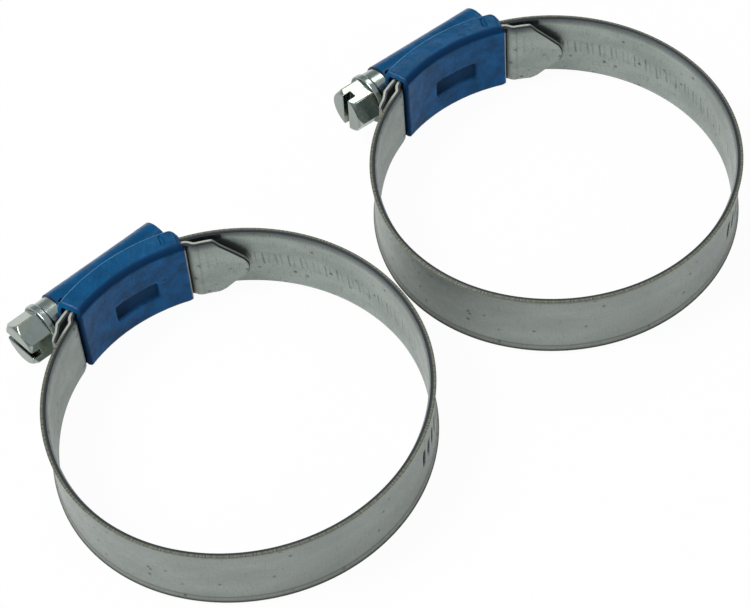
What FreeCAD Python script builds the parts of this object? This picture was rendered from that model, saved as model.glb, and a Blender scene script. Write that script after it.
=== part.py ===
import FreeCAD, Part
import math
import os
import Sketcher

# A pair of worm-drive hose clamps of one size, standing on their sides on a flat surface.
# Each clamp is a strip of steel bent into a ring, a folded housing that joins its two ends,
# and a worm screw in the housing's barrel that pulls the strip's threaded tail through.
# The strip is divided into four stretches, so that the ring can be drawn smaller.
#
# Clamp frame: origin at the ring's centre on the surface, X outward through the middle of
# the housing, Y along the ring towards the screw's head, Z up. Angles run from X towards Y.

# Driving dimensions, in millimetres and degrees
DIMENSIONS = {
    "band_width": 12.0,
    "band_thick": 0.8,
    "edge_lift": 0.35,
    "edge_run": 0.95,
    "side_gap": 0.15,
    "side_wall": 0.7,
    "sheet_thick": 0.8,
    "saddle_radius": 26.7,
    "ridge_room": 0.6,
    "housing_arc": 43.0,
    "saddle_fold": 1.1,
    "ridge_fold": 0.7,
    "corner_cut": 0.9,
    "ridge_cut": 1.6,
    "layer_gap": 0.05,
    "slide_gap": 0.1,
    "flush_step": 0.05,
    "bend_radius": 1.6,
    "bend_inset": 0.7,
    "ring_grows_to": 125.0,
    "hinge_first": 60.0,
    "hinge_second": 180.0,
    "hinge_gap": 0.3,
    "tongue_reach": 20.0,
    "tongue_taper": 5.2,
    "tongue_tip": 2.6,
    "tail_reach": 8.5,
    "tail_taper": 1.8,
    "tail_tip": 1.6,
    "lug_arc": 16.5,
    "lug_height": 3.1,
    "lug_middle": -2.05,
    "lug_drop": 1.3,
    "lug_wall": 0.45,
    "lug_rise": 0.4,
    "lug_gap": 0.2,
    "dimple_inset": 6.5,
    "dimple_drop": 1.4,
    "dimple_length": 1.9,
    "dimple_width": 0.6,
    "dimple_depth": 0.25,
    "screw_angle": 3.0,
    "thread_bite": 0.4,
    "worm_room": 0.2,
    "barrel_wall": 0.85,
    "barrel_to_head": 8.6,
    "barrel_to_tip": 11.8,
    "lip_thick": 1.1,
    "journal_radius": 2.4,
    "journal_gap": 0.05,
    "end_play": 0.12,
    "core_radius": 2.2,
    "worm_radius": 3.15,
    "thread_pitch": 2.08,
    "thread_crest": 0.6,
    "thread_root": 1.1,
    "thread_lead_in": 1.72,
    "thread_run_out": 1.02,
    "groove_floor_gap": 0.1,
    "groove_gap": 0.22,
    "neck_radius": 3.9,
    "neck_length": 2.05,
    "neck_room": 0.25,
    "flange_radius": 4.2,
    "flange_thick": 1.2,
    "hex_flats": 6.8,
    "hex_length": 4.1,
    "hex_bevel": 0.55,
    "slot_width": 1.25,
    "slot_depth": 1.5,
    "tip_bevel": 0.35,
    "clamps_apart": 5.0423,
}

# Where the front clamp's ring centre stands, and the direction from it to the rear clamp's
FRONT_X = -22.997
FRONT_Y = -22.883
PAIR_BEARING = 37.6708

# Direction of each clamp's housing, and turn of its screw's slot
CLAMPS = {
    "front": {"turn": 125.3, "slot_turn": -6.0},
    "rear": {"turn": 121.0, "slot_turn": 91.0},
}

doc = FreeCAD.newDocument("hose_clamp_pair")
sheet = doc.addObject("Spreadsheet::Sheet", "dims")
for row, (alias, number) in enumerate(DIMENSIONS.items(), start=1):
    sheet.set("A%d" % row, alias)
    sheet.set("B%d" % row, str(number))
    sheet.setAlias("B%d" % row, alias)
doc.recompute()


class Size:
    """A number together with the sheet expression that gives it."""

    def __init__(self, value, text):
        self.value = float(value)
        self.text = text

    def __add__(self, other):
        other = as_size(other)
        return Size(self.value + other.value, "(%s + %s)" % (self.text, other.text))

    def __sub__(self, other):
        other = as_size(other)
        return Size(self.value - other.value, "(%s - %s)" % (self.text, other.text))

    def __mul__(self, other):
        other = as_size(other)
        return Size(self.value * other.value, "(%s * %s)" % (self.text, other.text))

    def __truediv__(self, other):
        other = as_size(other)
        return Size(self.value / other.value, "(%s / %s)" % (self.text, other.text))

    def __neg__(self):
        return Size(-self.value, "(0 - %s)" % self.text)


def as_size(value):
    """Wrap a plain number, and leave a size as it is."""
    if isinstance(value, Size):
        return value
    return Size(value, "(%r)" % float(value))


def dim(alias):
    """The size held in one cell of the sheet."""
    return Size(sheet.get(alias), "dims.%s" % alias)


def bind(target, name, size):
    """Set a property of a feature and tie it to the sheet."""
    size = as_size(size)
    setattr(target, name, size.value)
    target.setExpression(name, size.text)


def direction(angle):
    """Unit vector in the ring's plane at an angle in degrees."""
    turn = math.radians(angle)
    return FreeCAD.Vector(math.cos(turn), math.sin(turn), 0)


def frame(origin, x_axis, y_axis):
    """Placement at a point with the given first and second axes."""
    z_axis = x_axis.cross(y_axis)
    return FreeCAD.Placement(origin, FreeCAD.Rotation(x_axis, y_axis, z_axis, "ZXY"))


def origin_plane(body, role):
    """The origin plane of a body with this role."""
    for feature in body.Origin.OriginFeatures:
        if feature.Role == role:
            return feature
    raise RuntimeError("no plane " + role)


def sketch_on(body, name, role, at=None):
    """A sketch on one of the body's own planes, moved to a placement in the body."""
    plane = origin_plane(body, role)
    sketch = body.newObject("Sketcher::SketchObject", name)
    sketch.AttachmentSupport = [(plane, "")]
    sketch.MapMode = "FlatFace"
    if at is not None:
        sketch.AttachmentOffset = plane.Placement.inverse().multiply(at)
    return sketch


def pin_coordinate(sketch, kind, geometry, point, size):
    """Hold one coordinate of a sketch point at a size measured from the sketch's origin."""
    size = as_size(size)
    if abs(size.value) < 1e-9:
        axis = -2 if kind == "DistanceX" else -1
        sketch.addConstraint(Sketcher.Constraint("PointOnObject", geometry, point, axis))
        return
    index = sketch.addConstraint(Sketcher.Constraint(kind, -1, 1, geometry, point, size.value))
    sketch.setExpression("Constraints[%d]" % index, size.text)


def draw_polygon(sketch, points):
    """A closed outline through points whose coordinates are sizes."""
    sized = [(as_size(across), as_size(along)) for across, along in points]
    flat = [FreeCAD.Vector(across.value, along.value, 0) for across, along in sized]
    count = len(flat)
    first = sketch.GeometryCount
    for index in range(count):
        edge = Part.LineSegment(flat[index], flat[(index + 1) % count])
        sketch.addGeometry(edge, False)
    for index in range(count):
        after = first + (index + 1) % count
        sketch.addConstraint(Sketcher.Constraint("Coincident", first + index, 2, after, 1))
    for index, (across, along) in enumerate(sized):
        pin_coordinate(sketch, "DistanceX", first + index, 1, across)
        pin_coordinate(sketch, "DistanceY", first + index, 1, along)


def draw_circle(sketch, across, along, radius):
    """A circle whose centre and radius are sizes."""
    across, along, radius = as_size(across), as_size(along), as_size(radius)
    centre = FreeCAD.Vector(across.value, along.value, 0)
    circle = Part.Circle(centre, FreeCAD.Vector(0, 0, 1), radius.value)
    geometry = sketch.addGeometry(circle, False)
    pin_coordinate(sketch, "DistanceX", geometry, 3, across)
    pin_coordinate(sketch, "DistanceY", geometry, 3, along)
    index = sketch.addConstraint(Sketcher.Constraint("Radius", geometry, radius.value))
    sketch.setExpression("Constraints[%d]" % index, radius.text)


def draw_fixed(sketch, edges):
    """Edges worked out from the sheet in this file, held where they are."""
    for edge in edges:
        geometry = sketch.addGeometry(edge, False)
        sketch.addConstraint(Sketcher.Constraint("Block", geometry))


def arc_between(centre, radius, start, end):
    """Arc about a centre from one angle to another, in degrees, counter-clockwise."""
    up = FreeCAD.Vector(0, 0, 1)
    circle = Part.Circle(centre, up, radius)
    return Part.ArcOfCircle(circle, math.radians(start), math.radians(end))


def pad(body, name, sketch, ahead, behind=None):
    """A pad along the sketch's normal, and behind it as well if asked."""
    feature = body.newObject("PartDesign::Pad", name)
    feature.Profile = sketch
    bind(feature, "Length", ahead)
    if behind is not None:
        feature.SideType = "Two sides"
        bind(feature, "Length2", behind)
    return feature


def pocket(body, name, sketch, ahead, behind=None):
    """A pocket cut against the sketch's normal, and on its other side as well if asked."""
    feature = body.newObject("PartDesign::Pocket", name)
    feature.Profile = sketch
    bind(feature, "Length", ahead)
    if behind is not None:
        feature.SideType = "Two sides"
        bind(feature, "Length2", behind)
    return feature


def turned(body, kind, name, sketch, angle, axis="V_Axis", both_ways=True):
    """A revolution or groove about an axis of its sketch."""
    feature = body.newObject("PartDesign::" + kind, name)
    feature.Profile = sketch
    feature.ReferenceAxis = (sketch, [axis])
    feature.Midplane = both_ways
    bind(feature, "Angle", angle)
    return feature


def edge_names(feature, test):
    """Names of the feature's edges that pass a test."""
    names = []
    for index, edge in enumerate(feature.Shape.Edges, start=1):
        if test(edge):
            names.append("Edge%d" % index)
    return names


housing_width = dim("band_width") + (dim("side_gap") + dim("side_wall")) * 2
middle = housing_width / 2
fixed_inner = dim("saddle_radius") + dim("sheet_thick") + dim("layer_gap")
tail_inner = fixed_inner + dim("band_thick") + dim("slide_gap")
flush_inner = dim("saddle_radius") + dim("flush_step")
half_band = dim("band_thick") / 2
strip_top = tail_inner + dim("band_thick")
ridge_radius = strip_top + dim("edge_lift") + dim("ridge_room") + dim("sheet_thick")
axis_radius = strip_top - dim("thread_bite") + dim("worm_radius")
barrel_bore = dim("worm_radius") + dim("worm_room")
barrel_radius = barrel_bore + dim("barrel_wall")
groove_depth = dim("thread_bite") + dim("groove_floor_gap")
bend_start = dim("housing_arc") / 2 - dim("bend_inset")
tongue_end = dim("housing_arc") / 2 + dim("tongue_reach")
tail_end = dim("housing_arc") / 2 + dim("tail_reach")
UP = FreeCAD.Vector(0, 0, 1)
RING_CENTRE = FreeCAD.Vector(0, 0, 0)


def make_housing(name):
    """Folded sheet: a curved channel for the strip and a straight barrel for the worm.

    The channel is a rectangle turned about the ring's axis. The barrel is a cylinder that
    touches the channel's line where the worm meets the strip. The hollow of the channel and
    the bore are cut afterwards, and they open into each other.
    """
    body = doc.addObject("PartDesign::Body", name)
    width = housing_width
    arc = dim("housing_arc")

    outline = sketch_on(body, name + "_outline", "XZ_Plane")
    draw_polygon(outline, [
        (dim("saddle_radius"), 0.0),
        (ridge_radius, 0.0),
        (ridge_radius, width),
        (dim("saddle_radius"), width),
    ])
    block = turned(body, "Revolution", name + "_block", outline, arc)
    doc.recompute()

    # Corners cut off at both ends, and a larger one where the ridge ends away from the head
    half_arc = arc.value / 2
    away = direction(-half_arc)

    def is_end_edge(edge):
        middle_point = edge.CenterOfMass
        flat = abs(edge.BoundBox.ZLength) < 1e-6 and edge.Curve.TypeId == "Part::GeomLine"
        return flat and (middle_point.z < 0.01 or middle_point.z > width.value - 0.01)

    corners = body.newObject("PartDesign::Chamfer", name + "_corners")
    corners.Base = (block, edge_names(block, is_end_edge))
    bind(corners, "Size", dim("corner_cut"))
    doc.recompute()

    def is_ridge_end(edge):
        point = edge.CenterOfMass
        near = (point - away * ridge_radius.value).dot(direction(90 - half_arc))
        upright = edge.BoundBox.ZLength > width.value / 2
        outer = math.hypot(point.x, point.y) > ridge_radius.value - 0.2
        return upright and outer and abs(near) < 0.2

    ridge_end = body.newObject("PartDesign::Chamfer", name + "_ridge_end")
    ridge_end.Base = (corners, edge_names(corners, is_ridge_end))
    bind(ridge_end, "Size", dim("ridge_cut"))
    doc.recompute()

    def is_fold(radius):
        def test(edge):
            round_edge = edge.Curve.TypeId == "Part::GeomCircle"
            return round_edge and abs(edge.Curve.Radius - radius) < 0.01
        return test

    saddle_fold = body.newObject("PartDesign::Fillet", name + "_saddle_fold")
    saddle_fold.Base = (ridge_end, edge_names(ridge_end, is_fold(dim("saddle_radius").value)))
    bind(saddle_fold, "Radius", dim("saddle_fold"))
    doc.recompute()
    ridge_fold = body.newObject("PartDesign::Fillet", name + "_ridge_fold")
    ridge_fold.Base = (saddle_fold, edge_names(saddle_fold, is_fold(ridge_radius.value)))
    bind(ridge_fold, "Radius", dim("ridge_fold"))
    doc.recompute()

    # The barrel stands square to its own radius, which is turned a little towards the head
    square = frame(RING_CENTRE, direction(dim("screw_angle").value), UP)
    barrel_outline = sketch_on(body, name + "_barrel_outline", "XZ_Plane", square)
    draw_circle(barrel_outline, axis_radius, middle, barrel_radius)
    pad(body, name + "_barrel", barrel_outline, dim("barrel_to_tip"), dim("barrel_to_head"))

    hollow = sketch_on(body, name + "_hollow_outline", "XZ_Plane")
    inner = dim("saddle_radius") + dim("sheet_thick")
    outer = ridge_radius - dim("sheet_thick")
    draw_polygon(hollow, [
        (inner, dim("side_wall")),
        (outer, dim("side_wall")),
        (outer, width - dim("side_wall")),
        (inner, width - dim("side_wall")),
    ])
    turned(body, "Groove", name + "_hollow", hollow, arc + 30.0)

    bore = sketch_on(body, name + "_bore_outline", "XZ_Plane", square)
    draw_circle(bore, axis_radius, middle, barrel_bore)
    deep_to_tip = dim("barrel_to_tip") - dim("lip_thick")
    deep_to_head = dim("barrel_to_head") - dim("lip_thick")
    pocket(body, name + "_bore", bore, deep_to_head, deep_to_tip)

    bearing = sketch_on(body, name + "_bearing_outline", "XZ_Plane", square)
    draw_circle(bearing, axis_radius, middle, dim("journal_radius") + dim("journal_gap"))
    pocket(body, name + "_bearing", bearing, 20.0, 20.0)

    # Room in the ridge for the screw's neck, beyond the barrel's end
    barrel_end = direction(dim("screw_angle").value + 90.0) * dim("barrel_to_head").value
    square_end = frame(barrel_end, direction(dim("screw_angle").value), UP)
    notch = sketch_on(body, name + "_notch_outline", "XZ_Plane", square_end)
    draw_circle(notch, axis_radius, middle, dim("neck_radius") + dim("neck_room"))
    pocket(body, name + "_notch", notch, dim("neck_length") + dim("flange_thick"))

    # Lug pressed outward from the saddle into a window of the strip, hollow on the inside
    lug_at = frame(RING_CENTRE, direction(dim("lug_middle").value), UP)
    lug_low = middle - dim("lug_drop") - dim("lug_height") / 2
    lug_high = lug_low + dim("lug_height")
    lug = sketch_on(body, name + "_lug_outline", "XZ_Plane", lug_at)
    lug_top = inner + dim("lug_rise")
    draw_polygon(lug, [
        (inner - 0.3, lug_low - dim("lug_wall")),
        (lug_top, lug_low - dim("lug_wall")),
        (lug_top, lug_high + dim("lug_wall")),
        (inner - 0.3, lug_high + dim("lug_wall")),
    ])
    turned(body, "Revolution", name + "_lug", lug, dim("lug_arc") + 2.0)
    dent = sketch_on(body, name + "_dent_outline", "XZ_Plane", lug_at)
    dent_floor = lug_top - dim("lug_wall")
    draw_polygon(dent, [
        (dim("saddle_radius") - 1.0, lug_low),
        (dent_floor, lug_low),
        (dent_floor, lug_high),
        (dim("saddle_radius") - 1.0, lug_high),
    ])
    turned(body, "Groove", name + "_dent", dent, dim("lug_arc"))

    # Small stake mark on the upper side wall
    mark_at = direction(dim("dimple_inset").value - arc.value / 2)
    mark_middle = mark_at * (ridge_radius - dim("dimple_drop")).value
    mark_middle.z = width.value
    mark = sketch_on(body, name + "_mark_outline", "XY_Plane", frame(mark_middle, mark_at, UP.cross(mark_at)))
    half_long = dim("dimple_length") / 2
    half_wide = dim("dimple_width") / 2
    draw_polygon(mark, [
        (-half_long, -half_wide),
        (half_long, -half_wide),
        (half_long, half_wide),
        (-half_long, half_wide),
    ])
    pocket(body, name + "_mark", mark, dim("dimple_depth"), dim("dimple_depth"))
    doc.recompute()
    return body


def strip_profile(body, name, at):
    """Section of the strip: flat, with both edges bent outward a little."""
    sketch = sketch_on(body, name, "XZ_Plane", at)
    half_wide = dim("band_width") / 2
    lift = dim("edge_lift")
    flat = half_wide - dim("edge_run")
    draw_polygon(sketch, [
        (-half_band + lift, -half_wide),
        (half_band + lift, -half_wide),
        (half_band, -flat),
        (half_band, flat),
        (half_band + lift, half_wide),
        (-half_band + lift, half_wide),
        (-half_band, flat),
        (-half_band, -flat),
    ])
    return sketch


def make_strip(name, arcs):
    """A stretch of the strip, swept along arcs that follow on without a kink."""
    body = doc.addObject("PartDesign::Body", name)
    lifted = FreeCAD.Placement(UP * middle.value, FreeCAD.Rotation())
    path = sketch_on(body, name + "_path", "XY_Plane", lifted)
    draw_fixed(path, [arc_between(*arc) for arc in arcs])
    centre, radius, start, _ = arcs[0]
    radial = direction(start)
    first_point = centre + radial * radius + UP * middle.value
    profile = strip_profile(body, name + "_section", frame(first_point, radial, UP))
    sweep = body.newObject("PartDesign::AdditivePipe", name + "_sweep")
    sweep.Profile = profile
    sweep.Spine = (path, [])
    sweep.Mode = "Standard"
    doc.recompute()
    return body


def trim_tip(body, name, angle, inward, taper, tip, radius):
    """Cut a strip's end to a symmetric taper with a rounded tip.

    The tip's circle touches the end line and both slanted sides, which start at the full
    width at the taper's length from the end.
    """
    radial = direction(angle)
    along = UP.cross(radial) * inward
    at = frame(radial * radius + UP * middle.value, along, UP)
    sketch = sketch_on(body, name + "_outline", "XY_Plane", at)
    half = dim("band_width").value / 2
    tip_radius = tip.value
    length = taper.value
    # Slanted side from (length, half) tangent to the circle about (tip_radius, 0)
    run = length - tip_radius
    reach = math.hypot(run, half)
    lean = math.atan2(half, run) + math.acos(tip_radius / reach)
    touch = FreeCAD.Vector(tip_radius + tip_radius * math.cos(lean), tip_radius * math.sin(lean), 0)
    mirror = FreeCAD.Vector(touch.x, -touch.y, 0)
    top = FreeCAD.Vector(length, half, 0)
    low = FreeCAD.Vector(length, -half, 0)
    nose = FreeCAD.Vector(0, 0, 0)
    out = half + 1.0
    corners = [
        low,
        FreeCAD.Vector(length, -out, 0),
        FreeCAD.Vector(-2.0, -out, 0),
        FreeCAD.Vector(-2.0, out, 0),
        FreeCAD.Vector(length, out, 0),
        top,
    ]
    edges = [Part.LineSegment(mirror, low)]
    edges += [Part.LineSegment(one, two) for one, two in zip(corners, corners[1:])]
    edges.append(Part.LineSegment(top, touch))
    edges.append(Part.Arc(touch, nose, mirror))
    draw_fixed(sketch, edges)
    pocket(body, name, sketch, 3.0, 3.0)
    doc.recompute()


def cut_window(body, name):
    """Window of the fixed stretch, round the lug of the saddle with a gap."""
    angle = dim("lug_middle").value
    radial = direction(angle)
    reach = (fixed_inner + half_band).value
    at = frame(radial * reach + UP * middle.value, UP.cross(radial), UP)
    sketch = sketch_on(body, name + "_outline", "XY_Plane", at)
    half_long = (fixed_inner + dim("band_thick")) * (dim("lug_arc") + 2.0) * (math.pi / 360)
    half_long = half_long + dim("lug_gap")
    low = -dim("lug_drop") - dim("lug_height") / 2 - dim("lug_wall") - dim("lug_gap")
    high = low + dim("lug_height") + (dim("lug_wall") + dim("lug_gap")) * 2
    draw_polygon(sketch, [
        (-half_long, low),
        (half_long, low),
        (half_long, high),
        (-half_long, high),
    ])
    pocket(body, name, sketch, 3.0, 3.0)
    doc.recompute()


def press_grooves(body, name, first, count):
    """Thread pressed into the strip's outer face.

    One groove is the print of a disc with the worm's outline, centred on the worm's axis
    and leaning by the thread's lead. It is repeated round the ring at the thread's pitch.
    """
    contact = tail_inner + dim("band_thick")
    lean = math.atan(dim("thread_pitch").value / (2 * math.pi * dim("worm_radius").value))
    radial = direction(first)
    around = UP.cross(radial)
    leaning = around * math.cos(lean) - UP * math.sin(lean)
    at = frame(UP * middle.value, radial, leaning)
    sketch = sketch_on(body, name + "_outline", "XY_Plane", at)
    floor = contact - groove_depth
    crest = dim("thread_crest") / 2 + dim("groove_gap")
    root = dim("thread_root") / 2 + dim("groove_gap")
    draw_polygon(sketch, [
        (floor, -crest),
        (floor, crest),
        (floor + 0.95, root),
        (axis_radius, root),
        (axis_radius, -root),
        (floor + 0.95, -root),
    ])
    axis_line = Part.LineSegment(
        FreeCAD.Vector(axis_radius.value, -3, 0),
        FreeCAD.Vector(axis_radius.value, 3, 0),
    )
    geometry = sketch.addGeometry(axis_line, True)
    sketch.addConstraint(Sketcher.Constraint("Block", geometry))
    groove = turned(body, "Groove", name + "_one", sketch, 360.0, "Axis0", False)
    doc.recompute()
    step = math.degrees(dim("thread_pitch").value / (contact.value - groove_depth.value / 2))
    pattern = body.newObject("PartDesign::PolarPattern", name)
    pattern.Originals = [groove]
    pattern.Axis = (origin_plane(body, "Z_Axis"), [""])
    pattern.Angle = step * (count - 1)
    pattern.Occurrences = count
    body.Tip = pattern
    doc.recompute()


def make_screw(name, slot_turn):
    """Worm, bearings, collar, flange and slotted hexagon, turned about the screw's axis."""
    body = doc.addObject("PartDesign::Body", name)
    tip_end = -(dim("barrel_to_tip") + 0.3)
    tip_bearing = -(dim("barrel_to_tip") - dim("lip_thick") - 0.8)
    head_bearing = dim("barrel_to_head") - dim("lip_thick") - 0.3
    neck_start = dim("barrel_to_head") + dim("end_play")
    flange_start = neck_start + dim("neck_length")
    hex_start = flange_start + dim("flange_thick")
    hex_end = hex_start + dim("hex_length")
    bevel = dim("tip_bevel")

    outline = sketch_on(body, name + "_outline", "XZ_Plane")
    draw_polygon(outline, [
        (0.0, tip_end),
        (dim("journal_radius") - bevel, tip_end),
        (dim("journal_radius"), tip_end + bevel),
        (dim("journal_radius"), tip_bearing),
        (dim("core_radius"), tip_bearing + 0.2),
        (dim("core_radius"), head_bearing - 0.2),
        (dim("journal_radius"), head_bearing),
        (dim("journal_radius"), neck_start),
        (dim("neck_radius") - 0.2, neck_start),
        (dim("neck_radius"), neck_start + 0.2),
        (dim("neck_radius"), flange_start),
        (dim("flange_radius"), flange_start + 0.15),
        (dim("flange_radius"), hex_start - 0.25),
        (dim("flange_radius") - 0.25, hex_start),
        (0.0, hex_start),
    ])
    turned(body, "Revolution", name + "_shaft", outline, 360.0, "V_Axis", False)
    doc.recompute()

    # Worm thread: a trapezium swept along a right-handed helix. It starts at the turn that
    # brings its crest past the strip at whole pitches from the screw's middle.
    start = tip_bearing + dim("thread_lead_in")
    length = head_bearing - dim("thread_run_out") - start
    begin = direction((360.0 * (start.value / dim("thread_pitch").value + 0.5)) % 360.0)
    round_start = frame(RING_CENTRE, begin, UP)
    thread = sketch_on(body, name + "_thread_outline", "XZ_Plane", round_start)
    sunk = dim("core_radius") - 0.1
    draw_polygon(thread, [
        (sunk, start - dim("thread_root") / 2),
        (dim("worm_radius"), start - dim("thread_crest") / 2),
        (dim("worm_radius"), start + dim("thread_crest") / 2),
        (sunk, start + dim("thread_root") / 2),
    ])
    helix = body.newObject("PartDesign::AdditiveHelix", name + "_thread")
    helix.Profile = thread
    helix.ReferenceAxis = (thread, ["V_Axis"])
    helix.Mode = "pitch-height-angle"
    bind(helix, "Pitch", dim("thread_pitch"))
    bind(helix, "Height", length)
    doc.recompute()

    # Hexagon with bevelled corners, and a slot across it for a flat blade
    turn = math.radians(slot_turn)
    slot_way = FreeCAD.Vector(math.cos(turn), -math.sin(turn), 0)
    across = UP.cross(slot_way)
    base = FreeCAD.Vector(0, 0, hex_start.value)
    hexagon = sketch_on(body, name + "_hexagon_outline", "XY_Plane", frame(base, slot_way, across))
    half_flats = dim("hex_flats") / 2
    point = dim("hex_flats") / math.sqrt(3)
    side = point / 2
    draw_polygon(hexagon, [
        (half_flats, side),
        (0.0, point),
        (-half_flats, side),
        (-half_flats, -side),
        (0.0, -point),
        (half_flats, -side),
    ])
    pad(body, name + "_hexagon", hexagon, dim("hex_length"))

    bevel_cut = sketch_on(body, name + "_bevel_outline", "XZ_Plane")
    draw_polygon(bevel_cut, [
        (half_flats - 0.15, hex_end + 0.2),
        (point + 0.5, hex_end + 0.2),
        (point + 0.5, hex_end - dim("hex_bevel") - 0.35),
        (half_flats - 0.15, hex_end),
    ])
    turned(body, "Groove", name + "_bevel", bevel_cut, 360.0, "V_Axis", False)

    end = FreeCAD.Vector(0, 0, hex_end.value)
    slot = sketch_on(body, name + "_slot_outline", "XY_Plane", frame(end, slot_way, across))
    half_slot = dim("slot_width") / 2
    draw_polygon(slot, [(-6.0, -half_slot), (6.0, -half_slot), (6.0, half_slot), (-6.0, half_slot)])
    pocket(body, name + "_slot", slot, dim("slot_depth"), dim("slot_depth"))
    doc.recompute()
    return body


def angle_on(centre, radius, polar):
    """Angle about an arc's own centre of its point at a polar angle about the ring."""
    ray = direction(polar)
    ahead = centre.dot(ray)
    reach = ahead + math.sqrt(ahead ** 2 - centre.dot(centre) + radius ** 2)
    spoke = ray * reach - centre
    return math.degrees(math.atan2(spoke.y, spoke.x))


def make_band(prefix):
    """The four stretches of one clamp's strip.

    The centre line lies flush with the saddle at the tongue, steps outward over the saddle
    inside the housing and back again, and then widens from the flush radius to the tail's
    radius over two arcs. The second arc meets the first on the line through both centres.
    From there on the strip keeps the tail's radius until its tip, over the fixed stretch.
    """
    flush = flush_inner.value + half_band.value
    inside = fixed_inner.value + half_band.value
    loose = tail_inner.value + half_band.value
    bend = dim("bend_radius").value

    # Step over the saddle: two equal arcs that touch on the line between their centres
    outer_reach = flush + bend
    inner_reach = inside - bend
    squares = outer_reach ** 2 + inner_reach ** 2 - 4 * bend ** 2
    swing = math.degrees(math.acos(squares / (2 * outer_reach * inner_reach)))
    start = bend_start.value
    low = start + swing
    outer_foot = direction(low) * outer_reach
    inner_foot = direction(start) * inner_reach
    link = outer_foot - inner_foot
    turn = math.degrees(math.atan2(link.y, link.x))
    outer_mirror = FreeCAD.Vector(outer_foot.x, -outer_foot.y, 0)
    inner_mirror = FreeCAD.Vector(inner_foot.x, -inner_foot.y, 0)

    # Widening: a wide arc and a tight arc
    grow = dim("ring_grows_to").value
    halfway = (low + grow) / 2
    lean = (loose - flush) / (2 * (1 - math.cos(math.radians(halfway - low))))
    wide_centre = direction(low) * -lean
    wide_radius = flush + lean
    tight_centre = direction(grow) * lean
    tight_radius = loose - lean

    # Flexing places, half a gap on each side of them
    half_gap = math.degrees(dim("hinge_gap").value / 2 / loose)
    first = angle_on(wide_centre, wide_radius, dim("hinge_first").value)
    second = dim("hinge_second").value
    groove_radius = tail_inner.value + dim("band_thick").value - groove_depth.value / 2
    step = math.degrees(dim("thread_pitch").value / groove_radius)
    contact = 360.0 + dim("screw_angle").value
    third = contact - 15.5 * step

    fixed = make_strip(prefix + "_band_fixed", [
        (RING_CENTRE, flush, -tongue_end.value, -low),
        (outer_mirror, bend, 180.0 - turn, 180.0 - low),
        (inner_mirror, bend, -turn, -start),
        (RING_CENTRE, inside, -start, start),
        (inner_foot, bend, start, turn),
        (outer_foot, bend, 180.0 + low, 180.0 + turn),
        (wide_centre, wide_radius, low, first - half_gap),
    ])
    trim_tip(
        fixed, prefix + "_tongue", -tongue_end.value, 1.0,
        dim("tongue_taper"), dim("tongue_tip"), flush,
    )
    cut_window(fixed, prefix + "_window")

    left = make_strip(prefix + "_band_left", [
        (wide_centre, wide_radius, first + half_gap, halfway),
        (tight_centre, tight_radius, halfway, grow),
        (RING_CENTRE, loose, grow, second - half_gap),
    ])

    right = make_strip(prefix + "_band_right", [
        (RING_CENTRE, loose, second + half_gap, third - half_gap),
    ])
    press_grooves(right, prefix + "_grooves_right", contact - 37 * step, 22)

    tail = make_strip(prefix + "_band_tail", [
        (RING_CENTRE, loose, third + half_gap, 360.0 + tail_end.value),
    ])
    trim_tip(
        tail, prefix + "_nose", tail_end.value, -1.0,
        dim("tail_taper"), dim("tail_tip"), loose,
    )
    press_grooves(tail, prefix + "_grooves_tail", contact - 15 * step, 20)
    return [fixed, left, right, tail]


def screw_placement():
    """Screw frame in the clamp: first axis outward from the ring, third towards the head."""
    radial = direction(dim("screw_angle").value)
    return frame(radial * axis_radius.value + UP * middle.value, radial, -UP)


# The rear clamp stands a named gap away from the front one, measured between the two rings
across = ((strip_top + dim("edge_lift")) * 2 + dim("clamps_apart")).value
front_centre = FreeCAD.Vector(FRONT_X, FRONT_Y, 0)
centres = {"front": front_centre, "rear": front_centre + direction(PAIR_BEARING) * across}

subparts = []
for side, place in CLAMPS.items():
    corner = centres[side]
    standing = FreeCAD.Placement(corner, FreeCAD.Rotation(UP, place["turn"]))
    housing = make_housing(side + "_housing")
    housing.Placement = standing
    subparts.append(housing)
    for stretch in make_band(side):
        stretch.Placement = standing
        subparts.append(stretch)
    screw = make_screw(side + "_screw", place["slot_turn"])
    screw.Placement = standing.multiply(screw_placement())
    subparts.append(screw)
doc.recompute()

# Nothing is written unless every feature is sound and every sub-part is one closed solid
for item in doc.Objects:
    if "Invalid" in item.State or "Error" in item.State:
        raise RuntimeError("failed: %s %s" % (item.Name, item.State))
for subpart in subparts:
    shape = subpart.Shape
    if shape.isNull() or not shape.isValid() or len(shape.Solids) != 1:
        raise RuntimeError("unsound shape: " + subpart.Label)

os.makedirs("parts", exist_ok=True)
for subpart in subparts:
    subpart.Shape.exportStep("parts/%s.step" % subpart.Label)
    box = subpart.Shape.BoundBox
    print("%-18s volume %9.2f  x %7.2f %7.2f  y %7.2f %7.2f  z %6.2f %6.2f" % (
        subpart.Label, subpart.Shape.Volume,
        box.XMin, box.XMax, box.YMin, box.YMax, box.ZMin, box.ZMax,
    ))
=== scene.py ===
"""Looks of a pair of worm-drive hose clamps that lie on a pale floor.

All sizes are in millimetres and degrees until a mesh is written, and every shape is worked
out in its clamp's own frame: origin at the ring's centre on the floor, X outward through the
middle of the housing, Y along the ring towards the screw's head, and Z up.
"""

import logging
import math
from collections.abc import Callable
from dataclasses import dataclass, field
from enum import Enum

import bpy
import numpy as np
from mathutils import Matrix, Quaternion, Vector

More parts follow.
